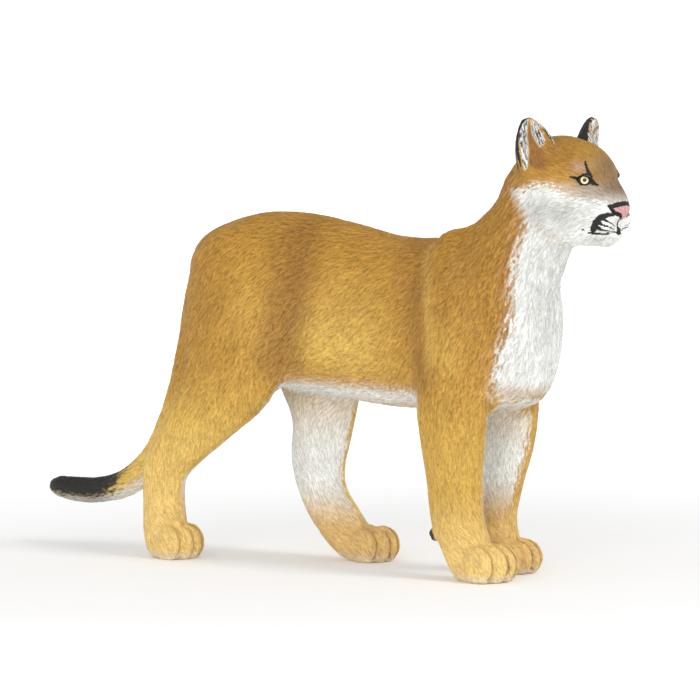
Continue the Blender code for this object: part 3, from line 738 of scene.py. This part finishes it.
# %% Lay the white areas
VIEW_RUN, VIEW_SIDE = math.cos(AZIMUTH), math.sin(AZIMUTH)
CHEST_EDGE = ((34.4, 33), (34.4, 37.7), (34.7, 40.9), (35.4, 44.1), (36.1, 47.2), (36.9, 50.3),
              (37.8, 53.5), (38.3, 56.5), (38.6, 62.7), (39, 65.8), (39.6, 68.9), (40.3, 72),
              (41.1, 75.1), (41.3, 81))
CHEEK_EDGE = ((41, 81.3), (42.6, 82.1), (44.1, 82.3), (46.1, 82.1), (48.1, 81.3), (49.5, 80.1),
              (51.1, 79.5), (54.1, 78.7), (57.2, 78), (60, 77.6))
BELLY_LEVEL = ((-30, 36.5), (-20, 38), (-6, 39.2), (18, 38.8), (30, 38), (60, 38))


def view_run(points, across=-1):
    """The place along the view. Across is 1 for a point seen over the animal's middle."""
    return VIEW_RUN * points[:, 0] + across * VIEW_SIDE * np.abs(points[:, 1])


def view_spots(points, across=-1):
    return np.column_stack((view_run(points, across), points[:, 2]))


def view_facing(points, normals, across=-1):
    """Above 0 where the skin faces the view, on this side or over the middle."""
    return mirrored_normals(points, normals) @ (VIEW_SIDE, -across * VIEW_RUN, 0)


def line_value(line, at):
    return np.interp(at, *zip(*sorted(line)))


def lay_white(colour, points, normals, tuft):
    x, z = points[:, 0], points[:, 2]
    run = view_run(points)
    trunk = smooth_step(z, 32, 38)
    belly = line_value(BELLY_LEVEL, x) - z
    near_belly = smooth_step(belly, -5, 1) * smooth_step(x, -32, -20) * trunk
    near_belly *= smooth_step(x, -8, -3) * fade(x, 32, 36)
    colour = toward(colour, WARM_FRINGE, 0.55 * near_belly)
    between_legs = smooth_step(x, -6.5, -3.5) * fade(x, 32, 35)
    below = smooth_step(-normals[:, 2], 0.55, 0.8) * fade(z, 38.5, 40)
    under = np.maximum(shifted(belly, tuft, 2.2, 0.7) * between_legs, below)
    colour = toward(colour, CREAM, under * smooth_step(x, -32, -22) * trunk)
    edge = np.interp(z, [p[1] for p in CHEST_EDGE], [p[0] for p in CHEST_EDGE])
    chest = (run - edge) * smooth_step(x, 34, 42)
    lower_neck = smooth_step(z, 36, 42) * fade(z, 79, 84)
    front = lower_neck * smooth_step(x, 36, 42)
    colour = toward(colour, WARM_FRINGE, 0.50 * front * shifted(chest + 2.2, tuft, 1.4, 3))
    return toward(colour, CREAM, front * shifted(chest, tuft, 1.2, 2.4))


# %% [markdown]
# The legs lighten towards the paws, and their inner sides are cream. How far a
# surface faces the body's middle decides it: on the toy the cream was sprayed
# from between the legs, so it fades where the leg turns outwards.

# %% Paint legs and tail
LEG_TOP = 38.0
LEG_ROUND = 30.0
BLACK_TAIL_START = -56.8


def paint_legs(colour, points, normals, tuft):
    x, y, z = points.T
    leg = fade(z, LEG_ROUND - 8, LEG_TOP + 10) * (x > -46)
    leg *= 1.0 - smooth_step(-x, 36, 40) * (np.abs(y) < 6.5)
    inward = -normals[:, 1] * np.sign(y)
    fore = smooth_step(x, 24, 28)
    colour = toward(colour, FLANK_YELLOW, (0.9 - 0.4 * fore) * leg)
    light_top = 34.0 - 14.0 * fore
    colour = toward(colour, LIGHT_TAN, leg * fade(z, 4, light_top))
    low_end = 13.0 * fore + 9.0 * (1.0 - fore)
    white = shifted(inward - 0.25 + 0.20 * normals[:, 0] * (1.0 - 2.0 * fore), tuft, 0.22, 0.25)
    white *= smooth_step(z, low_end - 3, low_end + 9) * (z < LEG_TOP + 6) * leg
    colour = toward(colour, WARM_FRINGE, 0.35 * leg * smooth_step(inward, -0.1, 0.3))
    colour = toward(colour, CREAM, white)
    return toward(colour, CREAM, 0.35 * fade(z, 0.6, 2.6) * (x > -46))


def paint_tail(colour, points, normals, tuft):
    x, y, z = points.T
    tail = smooth_step(-x, 36, 39) * (np.abs(y) < 7) * (z < 52)
    tail = np.maximum(tail, x < -42)
    colour = toward(colour, OCHRE, 0.9 * tail)
    colour = toward(colour, FLANK_YELLOW, tail * fade(z, 22, 44))
    colour = toward(colour, CREAM, 0.85 * tail * smooth_step(-normals[:, 2], 0.15, 0.8) * (x < -40))
    tip = shifted(BLACK_TAIL_START - x + 3.6 * normals[:, 2], tuft, 3.2, 5)
    tip *= smooth_step(normals[:, 2] + 0.3 * tuft, -0.55, -0.05) * 0.55 + 0.45
    return toward(colour, BLACK, tip * (x < -44))


# %% [markdown]
# The face is brushed by hand at the factory. Brown runs over crown and temple,
# greyer on the nose bridge. The cheeks, the muzzle and the inside of the ears are
# white. The ears' backs are black.

# %% Paint the head
EAR_FOOT = np.array([62.45, 6.7, 83.0])
EAR_TURN = np.array(
    Matrix.Rotation(math.radians(-22), 3, "X")
    @ Matrix.Rotation(math.radians(-4), 3, "Y")
    @ Matrix.Rotation(math.radians(23), 3, "Z")
)
# Grey mottling on the white, partly painted shade under cheek and chin: middle and half sizes
MOTTLE_AND_SHADE = (
    ((67.5, 8, 76.5), (5, 4, 3.6)), ((62.5, 9, 77), (3.5, 4, 3)),
    ((73.5, 3.5, 71), (3, 2.5, 1.2)),
)
# Height up the ear, half width and half depth there
EAR_SHAPE = ((0.0, 3.7, 3.0), (4.6, 4.9, 3.3), (9.4, 4.0, 2.6), (12.2, 2.5, 2.0), (13.9, 1.6, 1.4))
HEAD_PATCHES = (
    (MUZZLE_BROWN, 1, (75.8, 0, 82), (5, 7.5, 4.8)),
    (MUZZLE_BROWN, 0.8, (73, 0, 86), (3.6, 5.6, 4.2)),
    (MUZZLE_BROWN, 0.55, (71.5, 5.6, 80.6), (4, 3, 2)),
    (BROWN, 0.5, (67.6, 6, 87.6), (1.6, 2.2, 2.6)),
    (BROWN, 0.45, (63.5, 8.5, 86), (3.5, 3, 3)),
    (BROW_PINK, 0.75, (70.5, 6.2, 85.9), (1.7, 1.8, 1.5)),
    (BROWN, 0.4, (64.5, 6.5, 89.2), (2.4, 2.6, 2)),
    (LILAC, 0.55, (71.8, 5.8, 82), (2.8, 2, 0.9)),
)
# Rows of points in the plane of the picture: run, height, half width
EAR_WHITE = (
    ((40.9, 85.7, 0.2), (41, 87.5, 0.6), (40.93, 89.3, 1), (40.6, 91.6, 0.95), (40.6, 93.1, 0.85),
     (41, 94.9, 0.45), (41.5, 95.9, 0.15)),
    ((42.2, 95.3, 0.3), (43, 93.6, 0.75), (43.7, 92.35, 1.05), (44.1, 91.3, 0.9), (43.9, 90.4, 0.45)),
)
EAR_FOLD = (
    (41.6, 95.4, 0.1), (41.95, 92.35, 0.55), (42.5, 90.6, 0.9), (43.2, 88.8, 1.4), (43.4, 87.4, 1.7)
)
# The same for the inner side of the other ear, as it is seen across the head
EAR_CROSS_WHITE = (
    (53.6, 92.5, 0.4), (55.1, 92.5, 1.5), (55.9, 90.9, 0.6), (55.5, 94, 1.2), (55.7, 95.5, 0.45)
)
EAR_CROSS_BLACK = (
    (49.9, 91.8, 0.25), (51.5, 93.2, 0.55), (53.2, 94.8, 0.6), (54.6, 95.9, 0.38), (55.8, 96.2, 0.2)
)
EAR_CROSS_FOOT = 87.5
EDGE_ON = 0.2
FLECK_GAP = 0.0
EAR_MARGIN = 1.15
FAR_AWAY = 5.0


def stroke_gap(spots, stroke):
    """Distance outside a stroke whose half width changes from point to point."""
    nearest = np.full(len(spots), FAR_AWAY)
    for (run0, z0, half0), (run1, z1, half1) in zip(stroke, stroke[1:]):
        start, way = np.array((run0, z0)), np.array((run1 - run0, z1 - z0))
        along = np.clip((spots - start) @ way / (way @ way), 0.0, 1.0)
        gap = np.linalg.norm(spots - start - along[:, None] * way, axis=1)
        nearest = np.minimum(nearest, gap - half0 - along * (half1 - half0))
    return nearest


def ear_place(points):
    """Where a point lies in the ear's own frame: x to its opening, z up to its tip."""
    return (mirrored(points) - EAR_FOOT) @ EAR_TURN


def ear_reach(place):
    """Below 1 on the ear, and more outside it."""
    half_width, half_depth = (
        np.interp(place[:, 2], [row[0] for row in EAR_SHAPE], [row[column] for row in EAR_SHAPE])
        for column in (1, 2)
    )
    return np.hypot(place[:, 1] / (half_width + 0.6), (place[:, 0] + 0.1) / (half_depth + 0.8))


def paint_ears(colour, points, normals, tuft):
    place = ear_place(points)
    facing = mirrored_normals(points, normals) @ EAR_TURN
    ear = fade(ear_reach(place), 1.0, 1.2) * smooth_step(place[:, 2], 1.2, 4.2)
    spots, front = view_spots(points), view_facing(points, normals)
    back = smooth_step(-facing[:, 0], -0.25, 0.25) * smooth_step(place[:, 2], 2.5, 5.0)
    colour = toward(colour, BLACK, ear * np.maximum(back, front < -0.05))
    fold = fade(stroke_gap(spots, EAR_FOLD), -0.3, 0.5)
    colour = toward(colour, BROWN, 0.65 * ear * fold * (front > 0.0))
    white = np.zeros(len(points))
    for lobe in EAR_WHITE:
        edge = stroke_gap(spots, lobe) + 0.5 * (tuft - 0.5)
        white = np.maximum(white, fade(edge, -0.15, 0.15))
    white *= front > 0.0
    edge = stroke_gap(view_spots(points, 1.0), EAR_CROSS_WHITE) + 0.5 * (tuft - 0.5)
    seen = view_facing(points, normals, 1.0) > EDGE_ON
    seen = seen & (front > 0.1) & (points[:, 2] > EAR_CROSS_FOOT)
    white = np.maximum(white, fade(edge, -0.15, 0.15) * seen)
    white *= (1.0 - fold) * (ear_reach(place) < EAR_MARGIN)
    return toward(colour, CREAM, white), white


def paint_head(colour, points, normals, tuft):
    z = points[:, 2]
    head = smooth_step((points - neck_point) @ neck_way, -2.0, 2.0)
    run = view_run(points)
    colour = lay_patches(colour, points, HEAD_PATCHES, head)
    edge = line_value(CHEEK_EDGE, run)
    below = shifted(edge - z, tuft, 0.5, 1.8) * head
    near_edge = shifted(edge - z + 1.1, tuft, 1.0, 1.8) * head * fade(run, 50.0, 54.0)
    colour = toward(colour, WARM_FRINGE, 0.45 * near_edge)
    colour = toward(colour, CREAM, below)
    # Lower cheeks and chin go grey: partly mottled paint, partly painted shade under the head
    for middle, half in MOTTLE_AND_SHADE:
        mottle_and_shade = soft_patch(mirrored(points), middle, half) * (0.55 + 0.45 * (tuft > 0.55))
        colour = toward(colour, CHEEK_GREY_AND_SHADE, 0.95 * below * mottle_and_shade)
    leather = fade(np.linalg.norm(mirrored(points) - (78.0, 0.9, 76.6), axis=1), 1.9, 2.5)
    colour = toward(colour, NOSE_PINK, leather * ((run > 60.1) | (z > 76.2)))
    return paint_ears(colour, points, normals, tuft)


# %% [markdown]
# Black marks are drawn last with a fine brush: eye rims, ear rims, nose cap,
# nostrils, whisker patch, mouth and whisker stripes. Each skin point stores its distance
# from the edge of the nearest mark, in mm. The paint finish turns that distance
# into a sharp edge, which a plain painted point could not give between points.

# %% Draw the black marks
# Each brush stroke is a row of points in the plane of the picture: run, height, half width
MARKS = (
    ((52, 83.5, 0.22), (52.6, 84.4, 0.26), (53.4, 84.5, 0.34), (54.1, 83.9, 0.42), (54.2, 83.2, 0.45)),
    ((52, 83.4, 0.22), (52.5, 82.6, 0.18), (53.2, 82.4, 0.2), (53.9, 82.7, 0.34)),
    ((54, 83.5, 0.62), (54.7, 82.9, 0.5), (55.8, 82.3, 0.14)),
    ((52.3, 83.4, 0.42), (51.5, 83.7, 0.32), (50.6, 83.9, 0.24), (50, 84, 0.18)),
    ((53.2, 87.1, 0.22), (53.5, 85.9, 0.32), (53.8, 84.9, 0.42), (54.2, 84.1, 0.55)),
    ((57.8, 78.2, 0.22), (58.6, 78, 0.46), (59.8, 78.4, 0.52), (61.2, 78.6, 0.5)),
    ((58.3, 77.9, 0.46), (58.7, 77.2, 0.42), (59.1, 76.8, 0.34)),
    ((58.8, 76.6, 0.3), (59.6, 76.5, 0.5), (60.3, 76.2, 0.42), (60.5, 75.6, 0.24)),
    ((60.5, 75.5, 0.22), (60.1, 74.2, 0.18), (59.9, 73.3, 0.24), (59.9, 72.6, 0.34)),
    ((53.9, 72.6, 0.2), (55.9, 72.4, 0.22), (57.4, 72.3, 0.18), (58.3, 72.7, 0.14), (59.3, 72.8, 0.18),
     (60.3, 72.2, 0.14)),
    ((52, 73.35, 0.06), (52.8, 73.2, 0.17), (53.7, 72.9, 0.05)),
    ((58.9, 76.3, 0.22), (57.6, 76.3, 0.48), (56.3, 75.8, 0.62), (55.4, 74.9, 0.7), (55, 73.9, 0.66),
     (54.9, 73.2, 0.6)),
    ((55.8, 74.7, 0.42), (56.6, 74.3, 0.24), (57.8, 73.9, 0.15), (59.2, 73.3, 0.08)),
    ((56.8, 75.5, 0.36), (57.6, 75, 0.22), (58.4, 74.6, 0.14), (59.4, 73.8, 0.07)),
    ((55.6, 73.7, 0.4), (56.5, 73.3, 0.24), (57.4, 73.1, 0.14), (58.6, 72.9, 0.07)),
    ((60.9, 73.9, 0.08), (61.4, 73.6, 0.1), (62, 73.5, 0.06)),
)
MARKS_FROM = 64.0
LID_RIM = 1.2
# Half width of the line down the lip, how far forward it starts and the heights it joins
PHILTRUM_HALF = 0.22
PHILTRUM_FROM = 74.5
PHILTRUM_SPAN = (72.6, 75.6)
EAR_RIM_FOOT = 85.5
EAR_BACK_RIM = (
    (40.1, 86, 0.12), (39.6, 88, 0.26), (39.35, 89.5, 0.34), (39.2, 91.1, 0.36), (39.4, 93.4, 0.38),
    (40.1, 94.9, 0.32), (41.1, 95.9, 0.2)
)
EAR_FRONT_RIM = (
    (42, 96.1, 0.14), (43.3, 95.5, 0.2), (44.8, 94, 0.28), (46.1, 92.2, 0.3), (47.1, 90.7, 0.22)
)


def mark_distance(points, normals):
    spots = view_spots(points)
    distance = np.full(len(points), FAR_AWAY)
    shown = np.flatnonzero((view_facing(points, normals) > 0.0) & (points[:, 0] > MARKS_FROM))
    for stroke in MARKS:
        distance[shown] = np.minimum(distance[shown], stroke_gap(spots[shown], stroke))
    distance[lid_share(points) < LID_RIM] = -FAR_AWAY
    low, high = PHILTRUM_SPAN
    lip = (points[:, 0] > PHILTRUM_FROM) & (points[:, 2] > low) & (points[:, 2] < high)
    middle = np.abs(points[:, 1]) - PHILTRUM_HALF
    distance[lip] = np.minimum(distance[lip], middle[lip])
    ears = (ear_reach(ear_place(points)) < EAR_MARGIN) & (points[:, 2] > EAR_RIM_FOOT)
    rim = ears & (view_facing(points, normals, 1.0) < EDGE_ON)
    for where, places, stroke in (
        (ears, spots, EAR_BACK_RIM), (rim, spots, EAR_FRONT_RIM),
        (ears, view_spots(points, 1.0), EAR_CROSS_BLACK),
    ):
        distance[where] = np.minimum(distance[where], stroke_gap(places[where], stroke))
    return distance


def paint_skin(skin):
    mesh = skin.data
    points, normals = read_points(mesh), read_normals(mesh)
    tuft, pad = kept_float(mesh, "tuft"), kept_float(mesh, "pad")
    colour = np.tile(OCHRE, (len(points), 1))
    colour = lay_patches(colour, points, SOFT_PATCHES)
    colour = paint_legs(colour, points, normals, tuft)
    for target, strength, width, path in SOFT_BANDS:
        gap = gap_to_path(mirrored(points), path)
        colour = toward(colour, target, strength * fade(gap, 0.0, width * 1.5))
    colour = lay_white(colour, points, normals, tuft)
    colour = paint_tail(colour, points, normals, tuft)
    colour, in_ear = paint_head(colour, points, normals, tuft)
    colour = toward(colour, PAD_BLACK, smooth_step(pad, 0.10, 0.45))
    colour *= (1.0 + 0.20 * (tuft - 0.5))[:, None]
    rgba = np.column_stack((colour, np.ones(len(points))))
    paint = mesh.attributes.new("paint", "FLOAT_COLOR", "POINT")
    paint.data.foreach_set("color", rgba.ravel())
    marks = mark_distance(points, normals)
    keep_float(mesh, "mark", np.where(in_ear > 0.6, np.minimum(marks, FLECK_GAP), marks))


for skin in (head_skin, body_skin):
    paint_skin(skin)
    print(skin.name, "is painted in", len(SOFT_PATCHES) + len(HEAD_PATCHES), "soft patches")

# %% [markdown]
# The finish joins these layers. The sprayed colour is darkened in the grooves,
# partly paint that collects there and partly painted shade; painted shade also
# darkens the toe folds. Soft clouds and fine streaks along the grain lighten and
# darken it a little at random.
# Black marks go over it. Soft vinyl paint is matte with a faint sheen, and a fine
# grain along the coat's flow breaks the light as brush hairs do.

# %% Painted vinyl finish
GRAIN_STEPS = (-0.36, -0.12, 0.12, 0.36)
GRAIN_SCALE = 3300.0
GRAIN_DEPTH = 0.00006
# Grooves darken towards this colour: partly paint wash that collects there, partly painted shade
GROOVE_WASH_AND_SHADE_TINT = (0.8, 0.78, 0.76, 1.0)
CLOUD_TINTS = (0.96, 0.95, 0.93, 1.0), (1.06, 1.06, 1.05, 1.0)
STRAND_TINTS = (0.8, 0.78, 0.74, 1.0), (1.14, 1.14, 1.14, 1.0)
# Brown painted shade in the toe folds
FOLD_SHADE_BROWN = (0.2, 0.1, 0.035, 1.0)
INK = (0.016, 0.015, 0.014, 1.0)


def math_node(nodes, links, operation, first, second, third=None):
    node = nodes.new("ShaderNodeMath")
    node.operation = operation
    for socket, value in zip(node.inputs, (first, second, third)):
        if isinstance(value, bpy.types.NodeSocket):
            links.new(value, socket)
        elif value is not None:
            socket.default_value = value
    return node.outputs[0]


def mix_colour(nodes, links, share, first, second, blend="MIX"):
    node = nodes.new("ShaderNodeMix")
    node.data_type = "RGBA"
    node.blend_type = blend
    for socket, value in ((node.inputs[0], share), (node.inputs[6], first), (node.inputs[7], second)):
        if isinstance(value, bpy.types.NodeSocket):
            links.new(value, socket)
        else:
            socket.default_value = value
    return node.outputs[2]


def attribute(nodes, name):
    node = nodes.new("ShaderNodeAttribute")
    node.attribute_name = name
    return node


def ramp(nodes, links, value, low, high):
    node = nodes.new("ShaderNodeMapRange")
    node.interpolation_type = "SMOOTHSTEP"
    links.new(value, node.inputs["Value"])
    set_inputs(node, {"From Min": low, "From Max": high})
    return node.outputs["Result"]


def noise(nodes, links, place, scale, detail):
    node = nodes.new("ShaderNodeTexNoise")
    set_inputs(node, {"Scale": scale, "Detail": detail})
    links.new(place, node.inputs["Vector"])
    return node.outputs["Fac"]


def grain(nodes, links, place):
    """Noise averaged along the flow, so that it reads as fine hair."""
    flow = attribute(nodes, "flow").outputs["Vector"]
    total = None
    for step in GRAIN_STEPS:
        shift = nodes.new("ShaderNodeVectorMath")
        shift.operation = "MULTIPLY_ADD"
        links.new(flow, shift.inputs[0])
        shift.inputs[1].default_value = (step * MM, step * MM, step * MM)
        links.new(place, shift.inputs[2])
        sample = noise(nodes, links, shift.outputs[0], GRAIN_SCALE, 1.0)
        total = sample if total is None else math_node(nodes, links, "ADD", total, sample)
    return math_node(nodes, links, "DIVIDE", total, float(len(GRAIN_STEPS)))


def painted_vinyl():
    material, nodes, links, shader = new_finish("painted_vinyl")
    place = nodes.new("ShaderNodeTexCoord").outputs["Object"]
    paint = attribute(nodes, "paint").outputs["Color"]
    fur = attribute(nodes, "fur").outputs["Fac"]
    toe_fold_shade = attribute(nodes, "toe_fold_shade").outputs["Fac"]
    mark = attribute(nodes, "mark").outputs["Fac"]
    hair = grain(nodes, links, place)
    cloud = noise(nodes, links, place, 260.0, 3.0)

    # Grooves darken: partly paint wash that collects there, partly painted shade
    wash_and_shade_tint = mix_colour(nodes, links, 0.60, GROOVE_WASH_AND_SHADE_TINT, paint)
    shade = mix_colour(nodes, links, 1.0, paint, wash_and_shade_tint, "MULTIPLY")
    depth = math_node(nodes, links, "MULTIPLY", ramp(nodes, links, fur, 0.04, 0.70), 0.70)
    colour = mix_colour(nodes, links, depth, paint, shade)
    light = mix_colour(nodes, links, ramp(nodes, links, cloud, 0.42, 0.75), *CLOUD_TINTS)
    colour = mix_colour(nodes, links, 1.0, colour, light, "MULTIPLY")
    strands = mix_colour(nodes, links, ramp(nodes, links, hair, 0.40, 0.60), *STRAND_TINTS)
    colour = mix_colour(nodes, links, 1.0, colour, strands, "MULTIPLY")
    # Painted shade in the toe folds
    toe_fold_shade_share = math_node(nodes, links, "MULTIPLY", toe_fold_shade, 0.7)
    colour = mix_colour(nodes, links, toe_fold_shade_share, colour, FOLD_SHADE_BROWN)
    edge = math_node(nodes, links, "MULTIPLY_ADD", hair, 0.7, mark)
    inked = ramp(nodes, links, edge, 0.43, 0.27)
    colour = mix_colour(nodes, links, inked, colour, INK)
    links.new(colour, shader.inputs["Base Color"])
    rough = ramp(nodes, links, cloud, 0.3, 0.7)
    links.new(math_node(nodes, links, "MULTIPLY_ADD", rough, 0.12, 0.50), shader.inputs["Roughness"])
    set_inputs(shader, {"Specular IOR Level": 0.25})
    bump = nodes.new("ShaderNodeBump")
    set_inputs(bump, {"Strength": 1.0, "Distance": GRAIN_DEPTH})
    links.new(hair, bump.inputs["Height"])
    links.new(bump.outputs["Normal"], shader.inputs["Normal"])
    return material


vinyl = painted_vinyl()
print("painted vinyl has", len(vinyl.node_tree.nodes), "nodes")

# %% [markdown]
# One mesh for the whole body would hold too many points to handle well, so it is
# parted into chest, loins, tail and legs. Each cut is a plane through the faces
# near it alone, as a saw goes through one leg and leaves the next. Both sides keep
# the very same edge, so nothing of the cut is seen, and each gets its own lid. The
# head comes from the finer skin and the neck from the coarser one, both cut at one
# plane.

# %% Part the skins into head, chest, loins, tail and legs
# Centre, direction and reach of each cut, in mm
PARTING = {
    "waist": ((12, 0, 54), (1, 0, 0), 26),
    "neck": ((58.85, 0, 76.8), (0.8, 0, 0.6), 24),
    "tail": ((-36.5, 0, 48.8), (-0.2, 0, -0.98), 8),
    "foreleg_right": ((40.65, -9, 36.8), (0, -0.62, -0.78), 17),
    "foreleg_left": ((40.65, 9, 36.8), (0, 0.62, -0.78), 17),
    "hindleg_right": ((-20.35, -9.6, 38.5), (-0.25, -0.5, -0.83), 18.5),
    "hindleg_left": ((-8.55, 9.6, 37.4), (-0.05, 0.5, -0.86), 18),
}


def cut_skin(bm, centre, normal, reach):
    centre, normal = Vector(centre) * MM, Vector(normal)
    near = [f for f in bm.faces if (f.calc_center_median() - centre).length < reach * MM]
    edges = {e for f in near for e in f.edges}
    verts = {v for f in near for v in f.verts}
    result = bmesh.ops.bisect_plane(
        bm, geom=[*near, *edges, *verts], plane_co=centre, plane_no=normal, dist=1e-8
    )
    seam = [e for e in result["geom_cut"] if isinstance(e, bmesh.types.BMEdge)]
    bmesh.ops.split_edges(bm, edges=seam)


def lid_holes(bm):
    rims = [e for e in bm.edges if e.is_boundary]
    lids = bmesh.ops.holes_fill(bm, edges=rims, sides=0)["faces"]
    for lid in lids:
        lid.smooth = False
        for edge in lid.edges:
            edge.smooth = False
    return len(lids)


def islands(bm):
    left, found = set(bm.verts), []
    while left:
        stack, group = [left.pop()], []
        while stack:
            vert = stack.pop()
            group.append(vert)
            for edge in vert.link_edges:
                other = edge.other_vert(vert)
                if other in left:
                    left.remove(other)
                    stack.append(other)
        found.append(group)
    return found


def part_skin(piece, cuts):
    bm = bmesh.new()
    bm.from_mesh(piece.data)
    for face in bm.faces:
        face.smooth = True
    for cut in cuts:
        cut_skin(bm, *PARTING[cut])
    print(piece.name, "has", lid_holes(bm), "lids on", len(cuts), "cuts")
    return bm, islands(bm)


# Each piece: the skin it comes from, a point near its middle, the solids it stands for
PIECES = {
    "cougar_head": ("head_skin", (66, 0, 82), ("head", "ear_right", "ear_left")),
    "cougar_chest": ("body_skin", (42, 0, 60), ("torso", "neck")),
    "cougar_loins": ("body_skin", (-12, 0, 56), ("torso",)),
    "cougar_tail": ("body_skin", (-50, 0, 24), ("tail_root", "tail_middle", "tail_tip")),
    "foreleg_right_skin": ("body_skin", (43, -9, 18), ("foreleg_right", "forepaw_right")),
    "foreleg_left_skin": ("body_skin", (40, 9, 18), ("foreleg_left", "forepaw_left")),
    "hindleg_right_skin": ("body_skin", (-30, -10, 20), ("hindleg_right", "hindpaw_right")),
    "hindleg_left_skin": ("body_skin", (-7, 10, 20), ("hindleg_left", "hindpaw_left")),
}


def keep_island(bm, groups, name):
    """The mesh of one island: a copy of the parted skin with every other island dropped."""
    near = PIECES[name][1]
    middles = [sum((v.co for v in group), Vector()) / len(group) for group in groups]
    gaps = [(middle - Vector(near) * MM).length for middle in middles]
    wanted = set(groups[gaps.index(min(gaps))])
    copy = bm.copy()
    copy.verts.ensure_lookup_table()
    drop = [copy.verts[v.index] for v in bm.verts if v not in wanted]
    bmesh.ops.delete(copy, geom=drop, context="VERTS")
    mesh = finished_mesh(copy, name)
    mesh.materials.append(vinyl)
    return mesh


for source, skin, cuts in (
    ("head_skin", head_skin, ["neck"]),
    ("body_skin", body_skin, list(PARTING)),
):
    bm, groups = part_skin(skin, cuts)
    bm.verts.index_update()
    for name in [n for n in PIECES if PIECES[n][0] == source]:
        piece = add_object(name, keep_island(bm, groups, name))
        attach(piece, "root")
        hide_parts(*PIECES[name][2])
        print(name, "has", sum(len(f.vertices) - 2 for f in piece.data.polygons), "triangles")
    bm.free()
    bpy.data.objects.remove(skin)

# %% [markdown]
# The toy's eyes are glossy drops of paint. A small ball behind each opening
# takes their place: black at the rim, a cream-yellow iris and a black pupil. The
# rings are drawn by the distance from the gaze line, so they need no image, and
# the clear coat gives the wet look.

# %% Eyes
EYE_MIDDLE = Vector((70.55, 4.0, 83.35))
EYE_RADIUS = 1.72
GAZE = Vector((0.57, 0.81, 0.02)).normalized()
IRIS_HALF = 0.80
PUPIL_HALF = 0.40
IRIS_COLOURS = (0.8, 0.68, 0.32, 1.0), (0.86, 0.8, 0.52, 1.0)
RIM_BLACK = (0.012, 0.011, 0.01, 1.0)
PUPIL_BLACK = (0.01, 0.01, 0.01, 1.0)


def eyeball(name, side):
    bm = bmesh.new()
    bmesh.ops.create_uvsphere(bm, u_segments=48, v_segments=32, radius=EYE_RADIUS * MM)
    gaze = Vector((GAZE.x, side * GAZE.y, GAZE.z))
    centre = Vector((EYE_MIDDLE.x, side * EYE_MIDDLE.y, EYE_MIDDLE.z)) * MM
    bmesh.ops.transform(bm, matrix=gaze.to_track_quat("Z", "Y").to_matrix().to_4x4(), verts=bm.verts)
    for vert in bm.verts:
        vert.co += centre
    mesh = finished_mesh(bm, name)
    mesh.shade_smooth()
    ring = mesh.attributes.new("ring", "FLOAT", "POINT")
    for vert in mesh.vertices:
        offset = (vert.co - centre) / MM
        ahead = offset.dot(gaze)
        ring.data[vert.index].value = (offset - gaze * ahead).length + OUTSIDE * (ahead < 0.0)
    return add_object(name, mesh)


def eye_finish():
    material, nodes, links, shader = new_finish("glossy_eye_paint")
    ring = attribute(nodes, "ring").outputs["Fac"]
    place = nodes.new("ShaderNodeTexCoord").outputs["Object"]
    fleck = ramp(nodes, links, noise(nodes, links, place, 2600.0, 2.0), 0.35, 0.7)
    iris = mix_colour(nodes, links, fleck, *IRIS_COLOURS)
    outer = ramp(nodes, links, ring, IRIS_HALF - 0.05, IRIS_HALF + 0.05)
    colour = mix_colour(nodes, links, outer, iris, RIM_BLACK)
    inner = ramp(nodes, links, ring, PUPIL_HALF + 0.04, PUPIL_HALF - 0.04)
    colour = mix_colour(nodes, links, inner, colour, PUPIL_BLACK)
    links.new(colour, shader.inputs["Base Color"])
    set_inputs(shader, {"Roughness": 0.45, "Coat Weight": 0.25, "Coat Roughness": 0.05})
    return material


eye_paint = eye_finish()
for name, side, solid in (("eyeball_right", -1, "eye_right"), ("eyeball_left", 1, "eye_left")):
    ball = eyeball(name, side)
    ball.data.materials.append(eye_paint)
    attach(ball, "root")
    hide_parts(solid)
    print(name, "has", len(ball.data.polygons), "faces")
